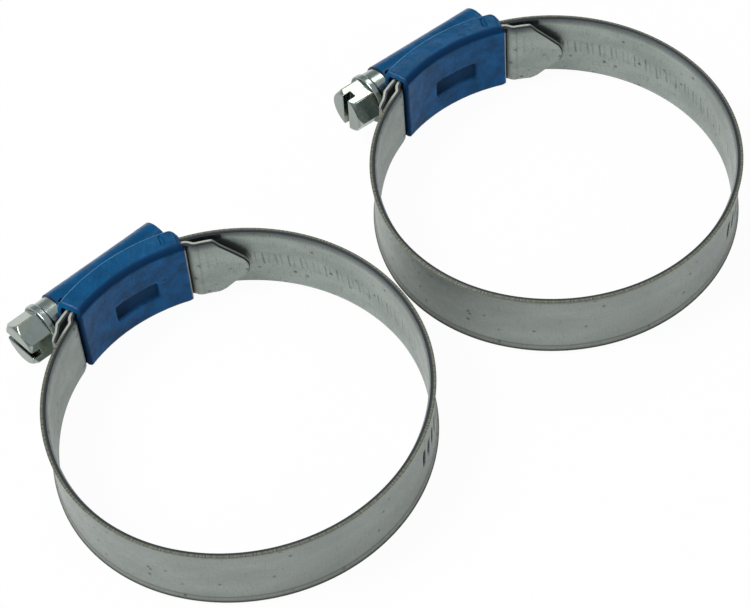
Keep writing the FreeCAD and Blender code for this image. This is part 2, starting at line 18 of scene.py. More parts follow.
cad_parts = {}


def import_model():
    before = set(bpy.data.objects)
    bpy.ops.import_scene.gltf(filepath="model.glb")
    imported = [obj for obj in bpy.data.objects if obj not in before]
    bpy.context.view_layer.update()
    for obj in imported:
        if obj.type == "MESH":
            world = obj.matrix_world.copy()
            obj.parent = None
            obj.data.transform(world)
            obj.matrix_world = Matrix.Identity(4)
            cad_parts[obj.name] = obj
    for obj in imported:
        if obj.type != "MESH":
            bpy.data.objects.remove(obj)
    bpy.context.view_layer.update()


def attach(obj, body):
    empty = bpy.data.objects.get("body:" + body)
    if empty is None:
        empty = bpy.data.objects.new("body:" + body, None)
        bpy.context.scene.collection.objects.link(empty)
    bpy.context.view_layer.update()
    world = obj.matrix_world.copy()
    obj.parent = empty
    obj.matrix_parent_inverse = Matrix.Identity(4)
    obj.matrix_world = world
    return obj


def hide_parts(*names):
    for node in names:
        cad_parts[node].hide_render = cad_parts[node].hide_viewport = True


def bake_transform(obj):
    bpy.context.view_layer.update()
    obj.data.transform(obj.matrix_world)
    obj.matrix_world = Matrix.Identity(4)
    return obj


LOG = logging.getLogger("clamps")
MILLIMETRE = 0.001
IMAGE_WIDTH = 750.0
SENSOR_WIDTH = 36.0
TINY = 1e-9
STRIP_MAP = "strip"
STRIP_MASKS = ("edge", "brim", "outside", "pressed", "dash", "border_shade", "fresh")
STRIP_BODIES = ("frame", "left", "right", "tail")
STRIP_NODES = ("band_fixed", "band_left", "band_right", "band_tail")

Array = np.ndarray
Form = Callable[[Array, Array, Array], Array]
Point = tuple[float, float, float]
Colour = tuple[float, float, float]
Piece = bpy.types.Object
Tree = bpy.types.NodeTree
Socket = bpy.types.NodeSocket


class Side(Enum):
    """The two clamps, by where they stand in the picture."""

    FRONT = "front"
    REAR = "rear"


class Region(Enum):
    """The three lengths that one strip is made in."""

    TONGUE = "band_tongue"
    BACK = "band_back"
    TAIL = "band_tail_end"


# ---------------------------------------------------------------------------------------
# Fields and places
# ---------------------------------------------------------------------------------------


def smooth_max(one: Array, two: Array, soft: Array | float) -> Array:
    """The larger of two fields, with a rounded change over the width soft between them."""
    share = np.clip(0.5 + 0.5 * (one - two) / soft, 0.0, 1.0)
    return two * (1.0 - share) + one * share + soft * share * (1.0 - share)


def smooth_min(one: Array, two: Array, soft: float) -> Array:
    """The smaller of two fields, with a rounded change over the width soft between them."""
    return -smooth_max(-one, -two, soft)


def ramp(value: Array, low: float, high: float) -> Array:
    """Zero below low, one above high, and an S-shaped cubic between them."""
    share = np.clip((value - low) / (high - low), 0.0, 1.0)
    return share * share * (3.0 - 2.0 * share)


def bell(value: Array, place: float, wide: float) -> Array:
    """One where the value is at the place, falling to both sides as a bell curve."""
    return np.exp(-(((value - place) / wide) ** 2))


def unit(angle: float) -> Array:
    """Unit vector in the floor's plane at an angle in degrees."""
    turn = math.radians(angle)
    return np.array([math.cos(turn), math.sin(turn)])


def polar(radius: Array, angle: Array) -> Array:
    """Rows of x and y from distances and angles in degrees."""
    turn = np.radians(angle)
    return np.stack([radius * np.cos(turn), radius * np.sin(turn)], axis=1)


def turned(x: Array, y: Array, angle: float) -> tuple[Array, Array]:
    """Coordinates along a direction, given by its angle in degrees, and to its left."""
    turn = math.radians(angle)
    return x * math.cos(turn) + y * math.sin(turn), y * math.cos(turn) - x * math.sin(turn)


def rounded_box(across: Array, along: Array, half_across: float, half_along: float,
                corner: Array | float) -> Array:
    """Signed distance to a rectangle whose corners are quarter circles.

    Args:
        across: First coordinates from the rectangle's middle.
        along: Second coordinates from its middle.
        half_across: Half its size along the first.
        half_along: Half its size along the second.
        corner: Radius of its corners.

    Returns:
        The distances, negative inside.
    """
    out_across = np.abs(across) - half_across + corner
    out_along = np.abs(along) - half_along + corner
    outside = np.hypot(np.maximum(out_across, 0.0), np.maximum(out_along, 0.0))
    return np.minimum(np.maximum(out_across, out_along), 0.0) + outside - corner


def waviness(x: Array, y: Array, z: Array, wave: float) -> Array:
    """Uneven skin: the mean of three products of slanted sines.

    Args:
        x: First coordinates.
        y: Second coordinates.
        z: Third coordinates.
        wave: Length of the longest waves, over two pi.

    Returns:
        Heights from minus one to one.
    """
    first = np.sin((x + 0.6 * y) / wave + 0.7) * np.sin((z - 0.3 * x) / wave * 1.3 + 1.1)
    second = np.sin((y - 0.7 * z) / wave * 1.9 + 2.3) * np.sin((x + z) / wave * 1.6)
    third = np.sin((x - y) / wave * 3.1 + 0.4) * np.sin((y + z) / wave * 2.7 + 1.9)
    return (first + second + third) / 3.0


@dataclass(frozen=True)
class Place:
    """Where one clamp stands, and how far its screw is turned.

    Attributes:
        x: Ring centre along X.
        y: Ring centre along Y.
        turn: Direction of the housing, in degrees.
        slot_turn: Turn of the screw's slot about the screw, in degrees.
    """

    x: float
    y: float
    turn: float
    slot_turn: float

    def to_scene(self, points: Array) -> Array:
        """Turn points of the clamp's frame about Z and move them to the clamp.

        Args:
            points: One row of three coordinates for each point, in millimetres.

        Returns:
            The rows in the scene's frame, in metres.
        """
        cos, sin = unit(self.turn)
        x, y, z = points.T
        moved = [self.x + x * cos - y * sin, self.y + x * sin + y * cos, z]
        return np.stack(moved, axis=1) * MILLIMETRE

    def point(self, radius: float, angle: float, height: float) -> Vector:
        """A point of the scene from its distance, angle and height in the clamp's frame."""
        spot = np.array([[*(radius * unit(angle)), height]])
        return Vector(self.to_scene(spot)[0])


PLACES = {
    Side.FRONT: Place(-22.997, -22.883, 125.3, -6.0),
    Side.REAR: Place(27.853, 16.377, 121.0, 91.0),
}


# ---------------------------------------------------------------------------------------
# Meshes
# ---------------------------------------------------------------------------------------


def write_mesh(name: str, points: Array, quads: Array, sharp: float | None = None) -> Piece:
    """Make an object from points in metres and four-cornered faces.

    Args:
        name: The piece's name.
        points: One row of three coordinates for each vertex.
        quads: One row of four vertex numbers for each face, seen from outside anticlockwise.
        sharp: Edges bent by more than this many degrees are shaded sharp.

    Returns:
        The new object, at the origin, with its place in its mesh.
    """
    mesh = bpy.data.meshes.new(name)
    mesh.vertices.add(len(points))
    mesh.vertices.foreach_set("co", points.astype(np.float32).ravel())
    mesh.loops.add(quads.size)
    mesh.loops.foreach_set("vertex_index", quads.astype(np.int32).ravel())
    mesh.polygons.add(len(quads))
    mesh.polygons.foreach_set("loop_start", np.arange(0, quads.size, 4, dtype=np.int32))
    mesh.update(calc_edges=True)
    mesh.validate()
    mesh.shade_smooth()
    if sharp is not None:
        mesh.set_sharp_from_angle(angle=math.radians(sharp))
    piece = bpy.data.objects.new(name, mesh)
    bpy.context.scene.collection.objects.link(piece)
    return piece


def write_masks(piece: Piece, masks: dict[str, Array]) -> None:
    """Store numbers at each vertex for the piece's material to read.

    Args:
        piece: The piece.
        masks: One value for each vertex, by the mask's name.
    """
    for name, values in masks.items():
        attribute = piece.data.attributes.new(name, "FLOAT", "POINT")
        attribute.data.foreach_set("value", values.astype(np.float32))


def write_map(piece: Piece, along: Array, across: Array) -> None:
    """Store the strip's UV map.

    Args:
        piece: The piece.
        along: Place along the strip at each vertex, in tenths of a metre.
        across: Place across the strip at each vertex, in tenths of a metre.
    """
    layer = piece.data.uv_layers.new(name=STRIP_MAP)
    corners = np.zeros(len(piece.data.loops), np.int32)
    piece.data.loops.foreach_get("vertex_index", corners)
    flat = np.stack([along[corners], across[corners]], axis=1)
    layer.data.foreach_set("uv", flat.astype(np.float32).ravel())


def ring_quads(rows: int, ring: int) -> Array:
    """Faces between closed rings of vertices, by row and column of the ring behind them.

    Args:
        rows: Number of rings.
        ring: Number of vertices in each.

    Returns:
        Four vertex numbers for each face: both of this column, then both of the next.
    """
    row, column = np.meshgrid(np.arange(rows - 1), np.arange(ring), indexing="ij")
    here, after = row * ring + column, row * ring + (column + 1) % ring
    return np.stack([here, here + ring, after + ring, after], axis=2)


def gradient(shape: Form, points: Array, reach: float) -> Array:
    """Slope of a field, from its values a short reach to both sides along each axis.

    Args:
        shape: Function of x, y and z.
        points: One row of three coordinates for each point.
        reach: How far to each side the field is read.

    Returns:
        One row of three slopes for each point.
    """
    slopes = []
    for step in np.eye(3) * reach:
        slopes.append((shape(*(points + step).T) - shape(*(points - step).T)) / (2.0 * reach))
    return np.stack(slopes, axis=1)


def net_surface(shape: Form, low: Point, high: Point, step: float,
                rounds: int = 4) -> tuple[Array, Array]:
    """The zero surface of a field, as a net of four-cornered faces.

    The field is sampled on a cubic grid. Each cell that the surface passes through gets one
    vertex, the mean of the places where the cell's edges cross zero, and each grid edge that
    crosses zero gets one face between the four cells round it. The vertices then slide along
    the field's slope until they lie on the surface.

    Args:
        shape: Function of x, y and z, negative inside.
        low: Lowest corner of the sampled box.
        high: Highest corner of the sampled box.
        step: Side of a cell.
        rounds: How often the vertices slide.

    Returns:
        Vertex places, and the four vertex numbers of each face.
    """
    probe, least_steep, longest, share_slid = 0.2 * step, 0.05, 0.5 * step, 0.8
    axes = [np.arange(start, end + step, step) for start, end in zip(low, high)]
    values = shape(*np.meshgrid(*axes, indexing="ij"))
    cells = np.array(values.shape) - 1
    total = np.zeros((int(cells.prod()), 3))
    count = np.zeros(int(cells.prod()))
    faces = []
    units = np.eye(3, dtype=np.int64)
    for axis in range(3):
        after, last = units[(axis + 1) % 3], units[(axis + 2) % 3]
        near = np.take(values, np.arange(values.shape[axis] - 1), axis)
        far = np.take(values, np.arange(1, values.shape[axis]), axis)
        spot = np.stack(np.nonzero((near < 0.0) != (far < 0.0)), axis=1)
        before = near[tuple(spot.T)]
        share = before / (before - far[tuple(spot.T)])
        crossing = spot + share[:, None] * units[axis]
        whole = np.ones(len(spot), bool)
        numbers = []
        for cell in (spot, spot - after, spot - after - last, spot - last):
            real = np.all((cell >= 0) & (cell < cells), axis=1)
            flat = (cell[:, 0] * cells[1] + cell[:, 1]) * cells[2] + cell[:, 2]
            for column in range(3):
                total[:, column] += np.bincount(flat[real], crossing[real, column], len(count))
            count += np.bincount(flat[real], minlength=len(count))
            numbers.append(flat)
            whole &= real
        quad = np.stack(numbers, axis=1)[whole]
        faces.append(np.where(before[whole, None] < 0.0, quad, quad[:, ::-1]))
    used = np.nonzero(count)[0]
    index = np.full(len(count), -1, np.int64)
    index[used] = np.arange(len(used))
    points = total[used] / count[used, None] * step + np.array(low)
    for _ in range(rounds):
        slope = gradient(shape, points, probe)
        steep = np.maximum((slope * slope).sum(axis=1), least_steep)
        slide = np.clip(shape(*points.T) / steep, -longest, longest)
        points = points - share_slid * slide[:, None] * slope
    return points, index[np.concatenate(faces)]


# ---------------------------------------------------------------------------------------
# Shared effects of the finishes
# ---------------------------------------------------------------------------------------


def add_node(tree: Tree, kind: str, inputs: dict | None = None,
             **options: object) -> bpy.types.Node:
    """Add one shader node.

    Args:
        tree: The material's or the group's tree.
        kind: The node's type, without its prefix.
        inputs: What each input gets, by its name or number: an output to join, or a value.
        **options: Settings of the node, set before its inputs are filled.

    Returns:
        The new node.
    """
    node = tree.nodes.new("ShaderNode" + kind)
    for name, value in options.items():
        setattr(node, name, value)
    for name, value in (inputs or {}).items():
        if isinstance(value, Socket):
            tree.links.new(value, node.inputs[name])
        else:
            node.inputs[name].default_value = value
    return node


class Effects:
    """Node groups that more than one finish uses. Each is made once and gives a value only."""

    _made: dict[str, Tree] = {}

    @classmethod
    def _start(cls, name: str, inputs: dict, output: str) -> Tree:
        """Make an empty group.

        Args:
            name: The group's name.
            inputs: Default of each input, by name: a number, a vector, or None for a vector
                that is always joined.
            output: Name of its one output, a number.

        Returns:
            The group's tree.
        """
        tree = bpy.data.node_groups.new(name, "ShaderNodeTree")
        for label, default in inputs.items():
            kind = "NodeSocketFloat" if isinstance(default, float) else "NodeSocketVector"
            socket = tree.interface.new_socket(name=label, in_out="INPUT", socket_type=kind)
            if default is not None:
                socket.default_value = default
        tree.interface.new_socket(name=output, in_out="OUTPUT", socket_type="NodeSocketFloat")
        cls._made[name] = tree
        return tree

    @classmethod
    def grain(cls) -> Tree:
        """Stretched noise, a value about one half, drawn out along one axis like rolled metal.

        Returns:
            The group, made on the first call.
        """
        if "grain" in cls._made:
            return cls._made["grain"]
        inputs = {"Vector": None, "Stretch": (1, 1, 1), "Scale": 100.0, "Detail": 3.0}
        tree = cls._start("grain", inputs, "Value")
        into, out = tree.nodes.new("NodeGroupInput").outputs, tree.nodes.new("NodeGroupOutput")
        drawn = add_node(tree, "VectorMath", {0: into["Vector"], 1: into["Stretch"]},
                         operation="MULTIPLY")
        noise = add_node(tree, "TexNoise", {"Vector": drawn.outputs[0], "Scale": into["Scale"],
                                            "Detail": into["Detail"]})
        tree.links.new(noise.outputs["Fac"], out.inputs["Value"])
        return tree

    @classmethod
    def specks(cls) -> Tree:
        """Scattered small spots: one near a random few cell centres, zero elsewhere.

        Returns:
            The group, made on the first call.
        """
        if "specks" in cls._made:
            return cls._made["specks"]
        inputs = {"Vector": None, "Scale": 200.0, "Size": 0.2, "Share": 0.2}
        tree = cls._start("specks", inputs, "Mask")
        into, out = tree.nodes.new("NodeGroupInput").outputs, tree.nodes.new("NodeGroupOutput")
        spots = add_node(tree, "TexVoronoi", {"Vector": into["Vector"], "Scale": into["Scale"]})
        near = add_node(tree, "MapRange", {"Value": spots.outputs["Distance"], "From Min": 0.0,
                                           "From Max": into["Size"], "To Min": 1.0, "To Max": 0.0},
                        interpolation_type="SMOOTHSTEP")
        draw = add_node(tree, "SeparateColor", {0: spots.outputs["Color"]})
        few = add_node(tree, "Math", {0: draw.outputs[0], 1: into["Share"]},
                       operation="LESS_THAN")
        both = add_node(tree, "Math", {0: near.outputs[0], 1: few.outputs[0]},
                        operation="MULTIPLY")
        tree.links.new(both.outputs[0], out.inputs["Mask"])
        return tree


class Dresser:
    """Writes one material, with short calls for the nodes that the finishes share."""

    def __init__(self, name: str, on_strip: bool = False) -> None:
        """Start a material with a Principled shader of its own.

        Args:
            name: The material's name.
            on_strip: Whether patterns follow the strip's map, and not Object coordinates.
        """
        self.material = bpy.data.materials.new(name)
        self.material.use_nodes = True
        self.tree = self.material.node_tree
        self.shader = self.tree.nodes["Principled BSDF"]
        if on_strip:
            self.place = add_node(self.tree, "UVMap", uv_map=STRIP_MAP).outputs["UV"]
        else:
            self.place = add_node(self.tree, "TexCoord").outputs["Object"]

    def feed(self, source: Socket, socket: str) -> None:
        """Join an output to a socket of the shader."""
        self.tree.links.new(source, self.shader.inputs[socket])

    def plain(self, **values: float) -> None:
        """Set sockets of the shader, named with underscores for spaces, to plain numbers."""
        for name, value in values.items():
            self.shader.inputs[name.replace("_", " ")].default_value = value

    def attribute(self, name: str) -> Socket:
        """A number stored at the piece's vertices."""
        return add_node(self.tree, "Attribute", attribute_name=name).outputs["Fac"]

    def grain(self, scale: float, detail: float = 3.0, stretch: tuple = (1, 1, 1)) -> Socket:
        """Noise of a scale and detail, stretched along each axis."""
        inputs = {"Vector": self.place, "Stretch": stretch, "Scale": scale, "Detail": detail}
        return add_node(self.tree, "Group", inputs, node_tree=Effects.grain()).outputs["Value"]

    def specks(self, scale: float, size: float, share: float) -> Socket:
        """Spots of a size, in a share of the cells of a scale."""
        inputs = {"Vector": self.place, "Scale": scale, "Size": size, "Share": share}
        return add_node(self.tree, "Group", inputs, node_tree=Effects.specks()).outputs["Mask"]

    def spread(self, source: Socket, low: float, high: float, to_low: float = 0.0,
               to_high: float = 1.0) -> Socket:
        """A value carried from one range to another, held at its ends."""
        inputs = {"Value": source, "From Min": low, "From Max": high, "To Min": to_low,
                  "To Max": to_high}
        return add_node(self.tree, "MapRange", inputs).outputs[0]

    def times(self, one: Socket, two: Socket | float) -> Socket:
        """Product of two numbers."""
        return add_node(self.tree, "Math", {0: one, 1: two}, operation="MULTIPLY").outputs[0]

    def mix(self, mask: Socket, one: Socket | Colour, two: Socket | Colour) -> Socket:
        """Colour one where the mask is zero and colour two where it is one."""
        low, high = ((*tone, 1.0) if isinstance(tone, tuple) else tone for tone in (one, two))
        return add_node(self.tree, "Mix", {"Factor": mask, 6: low, 7: high},
                        data_type="RGBA").outputs[2]

    def layers(self, colour: Socket | Colour, *over: tuple[Socket, Socket | Colour]) -> Socket:
        """Lay colours over a first one in their order.

        Args:
            colour: The lowest colour.
            *over: Pairs of a mask and the colour that shows where that mask is one.

        Returns:
            The colour on top.
        """
        for mask, tone in over:
            colour = self.mix(mask, colour, tone)
        return colour

    def mix_number(self, mask: Socket, one: Socket | float, two: float) -> Socket:
        """Number one where the mask is zero and number two where it is one."""
        return add_node(self.tree, "Mix", {"Factor": mask, 2: one, 3: two},
                        data_type="FLOAT").outputs[0]

    def bump(self, height: Socket, distance: float, normal: Socket | None = None) -> Socket:
        """A normal from a height.

        Args:
            height: The height, from about zero to one.
            distance: Metres of relief at a height of one.
            normal: The normal that the relief lies on, if it is not the plain surface's.

        Returns:
            The bent normal.
        """
        inputs = {"Height": height, "Distance": distance, "Strength": 1.0}
        if normal is not None:
            inputs["Normal"] = normal
        return add_node(self.tree, "Bump", inputs).outputs["Normal"]


def toned(colour: Colour, factor: float) -> Colour:
    """A colour made lighter or darker by a factor."""
    return tuple(part * factor for part in colour)


@dataclass(frozen=True)
class PaintFinish:
    """Thick glossy blue paint on folded sheet, with bare metal where the sheet was cut.

    Attributes:
        body: Colour of the paint.
        shade: Colour of the painted shade in the paint's folds, on the rounded head end and in the
            dent.
        inward: Colour of the face that turns to the hose, a lighter copy of the paint: painted
            light.
        ridge_highlight: Painted highlight along the ridge's fold.
        chip: Colour of small chips.
        hollow: Colour of the painted shade inside the barrel, the channel, the pit and part of the
            dent.
        bare: Colour of the cut sheet.
        thin: Factor on the paint's colour where it is thinnest.
        smudged: Factor on the paint's colour where it is smudged.
        inward_tones: Factors on the inward colour, smudged and clean.
        roughness: Roughness of the paint.
        fold_roughness: Roughness in the folds.
        bare_roughness: Roughness of the cut sheet.
        reliefs: Metres of relief of the paint's lumps, its skin and its chips.
    """

    body: Colour = (0.0012, 0.068, 0.180)
    shade: Colour = (0.0008, 0.026, 0.085)
    inward: Colour = (0.003, 0.086, 0.242)
    ridge_highlight: Colour = (0.075, 0.240, 0.400)
    chip: Colour = (0.003, 0.02, 0.09)
    hollow: Colour = (0.004, 0.012, 0.03)
    bare: Colour = (0.42, 0.41, 0.36)
    thin: float = 1.18
    smudged: float = 0.78
    inward_tones: tuple[float, float] = (0.70, 1.25)
    roughness: float = 0.24
    fold_roughness: float = 0.60
    bare_roughness: float = 0.34
    reliefs: tuple[float, float, float] = (0.00005, 0.00010, -0.00008)

    def material(self) -> bpy.types.Material:
        """Write the paint's material, which reads the housing's masks.

        Returns:
            The material.
        """
        dress = Dresser("blue_paint")
        drift = dress.spread(dress.grain(160.0), 0.35, 0.7)
        smudge = dress.spread(dress.grain(420.0, 5.0), 0.36, 0.64)
        worn = dress.spread(dress.grain(500.0), 0.35, 0.6, 0.25, 1.0)
        # Noise breaks up the painted highlight along the ridge.
        patchy_ridge_highlight = dress.times(dress.times(dress.attribute("ridge_highlight"), worn), 0.75)
        chips = dress.specks(420.0, 0.16, 0.10)
        fold, bare = dress.attribute("fold"), dress.attribute("bare")
        colour = dress.mix(drift, self.body, toned(self.body, self.thin))
        colour = dress.mix(smudge, toned(self.body, self.smudged), colour)
        inward = dress.mix(smudge, *(toned(self.inward, tone) for tone in self.inward_tones))
        # Painted light on the saddle, which gets a lighter copy of the paint; painted shade in the
        # folds and the hollows; a painted highlight along the ridge.
        colour = dress.layers(
            colour, (dress.attribute("saddle"), inward), (fold, self.shade),
            (patchy_ridge_highlight, self.ridge_highlight), (chips, self.chip),
            (dress.attribute("hollow"), self.hollow), (bare, self.bare),
        )
        dress.feed(colour, "Base Color")
        rough = dress.spread(dress.grain(700.0, 2.0), 0.3, 0.7,
                             self.roughness - 0.05, self.roughness + 0.08)
        rough = dress.mix_number(fold, rough, self.fold_roughness)
        dress.feed(dress.mix_number(bare, rough, self.bare_roughness), "Roughness")
        dress.feed(dress.times(bare, 0.35), "Metallic")
        normal = dress.bump(dress.grain(900.0, 1.0), self.reliefs[0])
        normal = dress.bump(dress.grain(420.0, 2.0), self.reliefs[1], normal)
        dress.feed(dress.bump(chips, self.reliefs[2], normal), "Normal")
        dress.plain(IOR=1.45, Specular_IOR_Level=0.13)
        return dress.material


@dataclass(frozen=True)
class StripFinish:
    """Zinc-coated rolled steel strip: grey with a little green, dull, with dark cut edges.

    Attributes:
        body: Colour of the strip.
        worn: Lighter colour in drifts along the strip.
        streak: Darker colour of the streaks along it.
        bloom: Pale colour of its mottling.
        scuff: Dark colour of the scuffs across it.
        grainy: Dark colour of its fine grain.
        outside: Colour that the outer face is toned with, a painted shade where it mirrors darker
            surroundings.
        borders: Colours of the painted shade along the bent borders, on the inner and on the outer
            face.
        spot: Colour of the small specks.
        edge: Colour of the cut edges' inner half.
        brim: Colour of the cut edges' outer half.
        brim_dark: Darker colour that runs along that half.
        fresh: Colour of that half at the strip's ends and steps.
        dirt_and_shade: Colour of the large specks of dirt, and of the painted shade on the pressed
            thread's floor, along its print, at the bends and in the darkest places along the
            borders.
        roughness: Roughness of the rolled faces.
        edge_roughness: Roughness of the cut edges.
        reliefs: Metres of relief of the rolling lines, the mottling and the thread's print.
    """

    body: Colour = (0.300, 0.340, 0.315)
    worn: Colour = (0.395, 0.440, 0.405)
    streak: Colour = (0.23, 0.25, 0.24)
    bloom: Colour = (0.46, 0.48, 0.45)
    scuff: Colour = (0.15, 0.165, 0.16)
    grainy: Colour = (0.16, 0.18, 0.17)
    outside: Colour = (0.235, 0.258, 0.245)
    borders: tuple[Colour, Colour] = ((0.060, 0.070, 0.078), (0.062, 0.056, 0.042))
    spot: Colour = (0.060, 0.066, 0.062)
    edge: Colour = (0.036, 0.042, 0.052)
    brim: Colour = (0.215, 0.230, 0.180)
    brim_dark: Colour = (0.060, 0.062, 0.040)
    fresh: Colour = (0.52, 0.54, 0.49)
    dirt_and_shade: Colour = (0.022, 0.024, 0.028)
    roughness: float = 0.40
    edge_roughness: float = 0.48
    reliefs: tuple[float, float, float] = (0.00002, 0.00003, -0.00010)

    def material(self) -> bpy.types.Material:
        """Write the strip's material, which reads its map and its masks.

        Returns:
            The material.
        """
        dress = Dresser("zinc_strip", on_strip=True)
        masks = {name: dress.attribute(name) for name in STRIP_MASKS}
        lines = dress.grain(26.0, 4.0, (1.0, 26.0, 1.0))
        drift = dress.grain(9.0, 3.0, (1.0, 3.0, 1.0))
        across = dress.grain(70.0, 4.0, (3.0, 0.7, 1.0))
        mottle = dress.grain(120.0, 4.0)
        dash_patchiness = dress.spread(dress.grain(45.0, 2.0), 0.35, 0.6, 0.35, 1.0)
        dash = dress.times(masks["dash"], dash_patchiness)
        run = dress.spread(dress.grain(400.0), 0.38, 0.62, 0.0, 0.9)
        brim = dress.layers(self.brim, (run, self.brim_dark), (masks["fresh"], self.fresh))
        edge = dress.mix(dress.spread(masks["brim"], 0.40, 0.60), self.edge, brim)
        # Painted shade: the outer face's tone, the bent borders, the shadow round the tongue's
        # tip, the grooves' floor, the thread's print and the bends; the large specks are dirt.
        colour = dress.layers(
            dress.mix(dress.spread(drift, 0.38, 0.66), self.body, self.worn),
            (dress.spread(lines, 0.56, 0.74, 0.0, 0.35), self.streak),
            (dress.spread(mottle, 0.54, 0.70, 0.0, 0.40), self.bloom),
            (dress.spread(across, 0.55, 0.75, 0.0, 0.45), self.scuff),
            (dress.spread(dress.grain(430.0, 2.0), 0.42, 0.68, 0.0, 0.42), self.grainy),
            (dress.spread(masks["outside"], 0.0, 1.0, 0.0, 0.45), self.outside),
            (masks["border_shade"], dress.mix(masks["outside"], *self.borders)),
            (dress.spread(masks["border_shade"], 0.78, 0.93), self.dirt_and_shade),
            (dress.specks(30.0, 0.14, 0.32), self.dirt_and_shade),
            (dress.specks(78.0, 0.33, 0.15), self.spot),
            (masks["pressed"], self.dirt_and_shade), (dash, self.dirt_and_shade), (masks["edge"], edge),
        )
        dress.feed(colour, "Base Color")
        rough = dress.spread(mottle, 0.3, 0.7, self.roughness - 0.07, self.roughness + 0.10)
        dress.feed(dress.mix_number(masks["edge"], rough, self.edge_roughness), "Roughness")
        normal = dress.bump(dress.grain(60.0, 3.0, (1.0, 30.0, 1.0)), self.reliefs[0])
        normal = dress.bump(mottle, self.reliefs[1], normal)
        dress.feed(dress.bump(dash, self.reliefs[2], normal), "Normal")
        dress.plain(Metallic=0.72)
        return dress.material


@dataclass(frozen=True)
class ZincFinish:
    """Bright zinc on the screw, with a faint yellow and green cast and turning marks.

    Attributes:
        body: Colour of the plating.
        cast: Yellow cast that comes and goes.
        green: Green cast that comes and goes.
        mark: Colour of small marks.
        deep: Colour of the painted shade in the slot, the thread's roots, the head's steps, under
            the neck and on the head's end.
        roughness: Roughness of the plating.
        relief: Metres of relief of the turning marks.
    """

    body: Colour = (0.385, 0.445, 0.425)
    cast: Colour = (0.46, 0.46, 0.29)
    green: Colour = (0.27, 0.36, 0.32)
    mark: Colour = (0.12, 0.12, 0.10)
    deep: Colour = (0.05, 0.055, 0.05)
    roughness: float = 0.16
    relief: float = 0.000004

    def material(self) -> bpy.types.Material:
        """Write the screw's material, which reads the mask deep.

        Returns:
            The material.
        """
        dress = Dresser("bright_zinc")
        green = dress.grain(330.0, 2.0, (1.3, 0.8, 1.0))
        colour = dress.layers(
            self.body,
            (dress.spread(dress.grain(260.0, 2.0), 0.48, 0.72, 0.0, 0.6), self.cast),
            (dress.spread(green, 0.55, 0.75, 0.0, 0.35), self.green),
            (dress.specks(900.0, 0.22, 0.08), self.mark),
            # Painted shade in the slot, the thread, at the head's steps, under the neck and on the
            # head's end.
            (dress.attribute("deep"), self.deep),
        )
        dress.feed(colour, "Base Color")
        rough = dress.spread(dress.grain(1500.0), 0.3, 0.7,
                             self.roughness - 0.05, self.roughness + 0.12)
        dress.feed(rough, "Roughness")
        dress.feed(dress.bump(dress.grain(2600.0), self.relief), "Normal")
        dress.plain(Metallic=1.0)
        return dress.material


# ---------------------------------------------------------------------------------------
# Housing
# ---------------------------------------------------------------------------------------


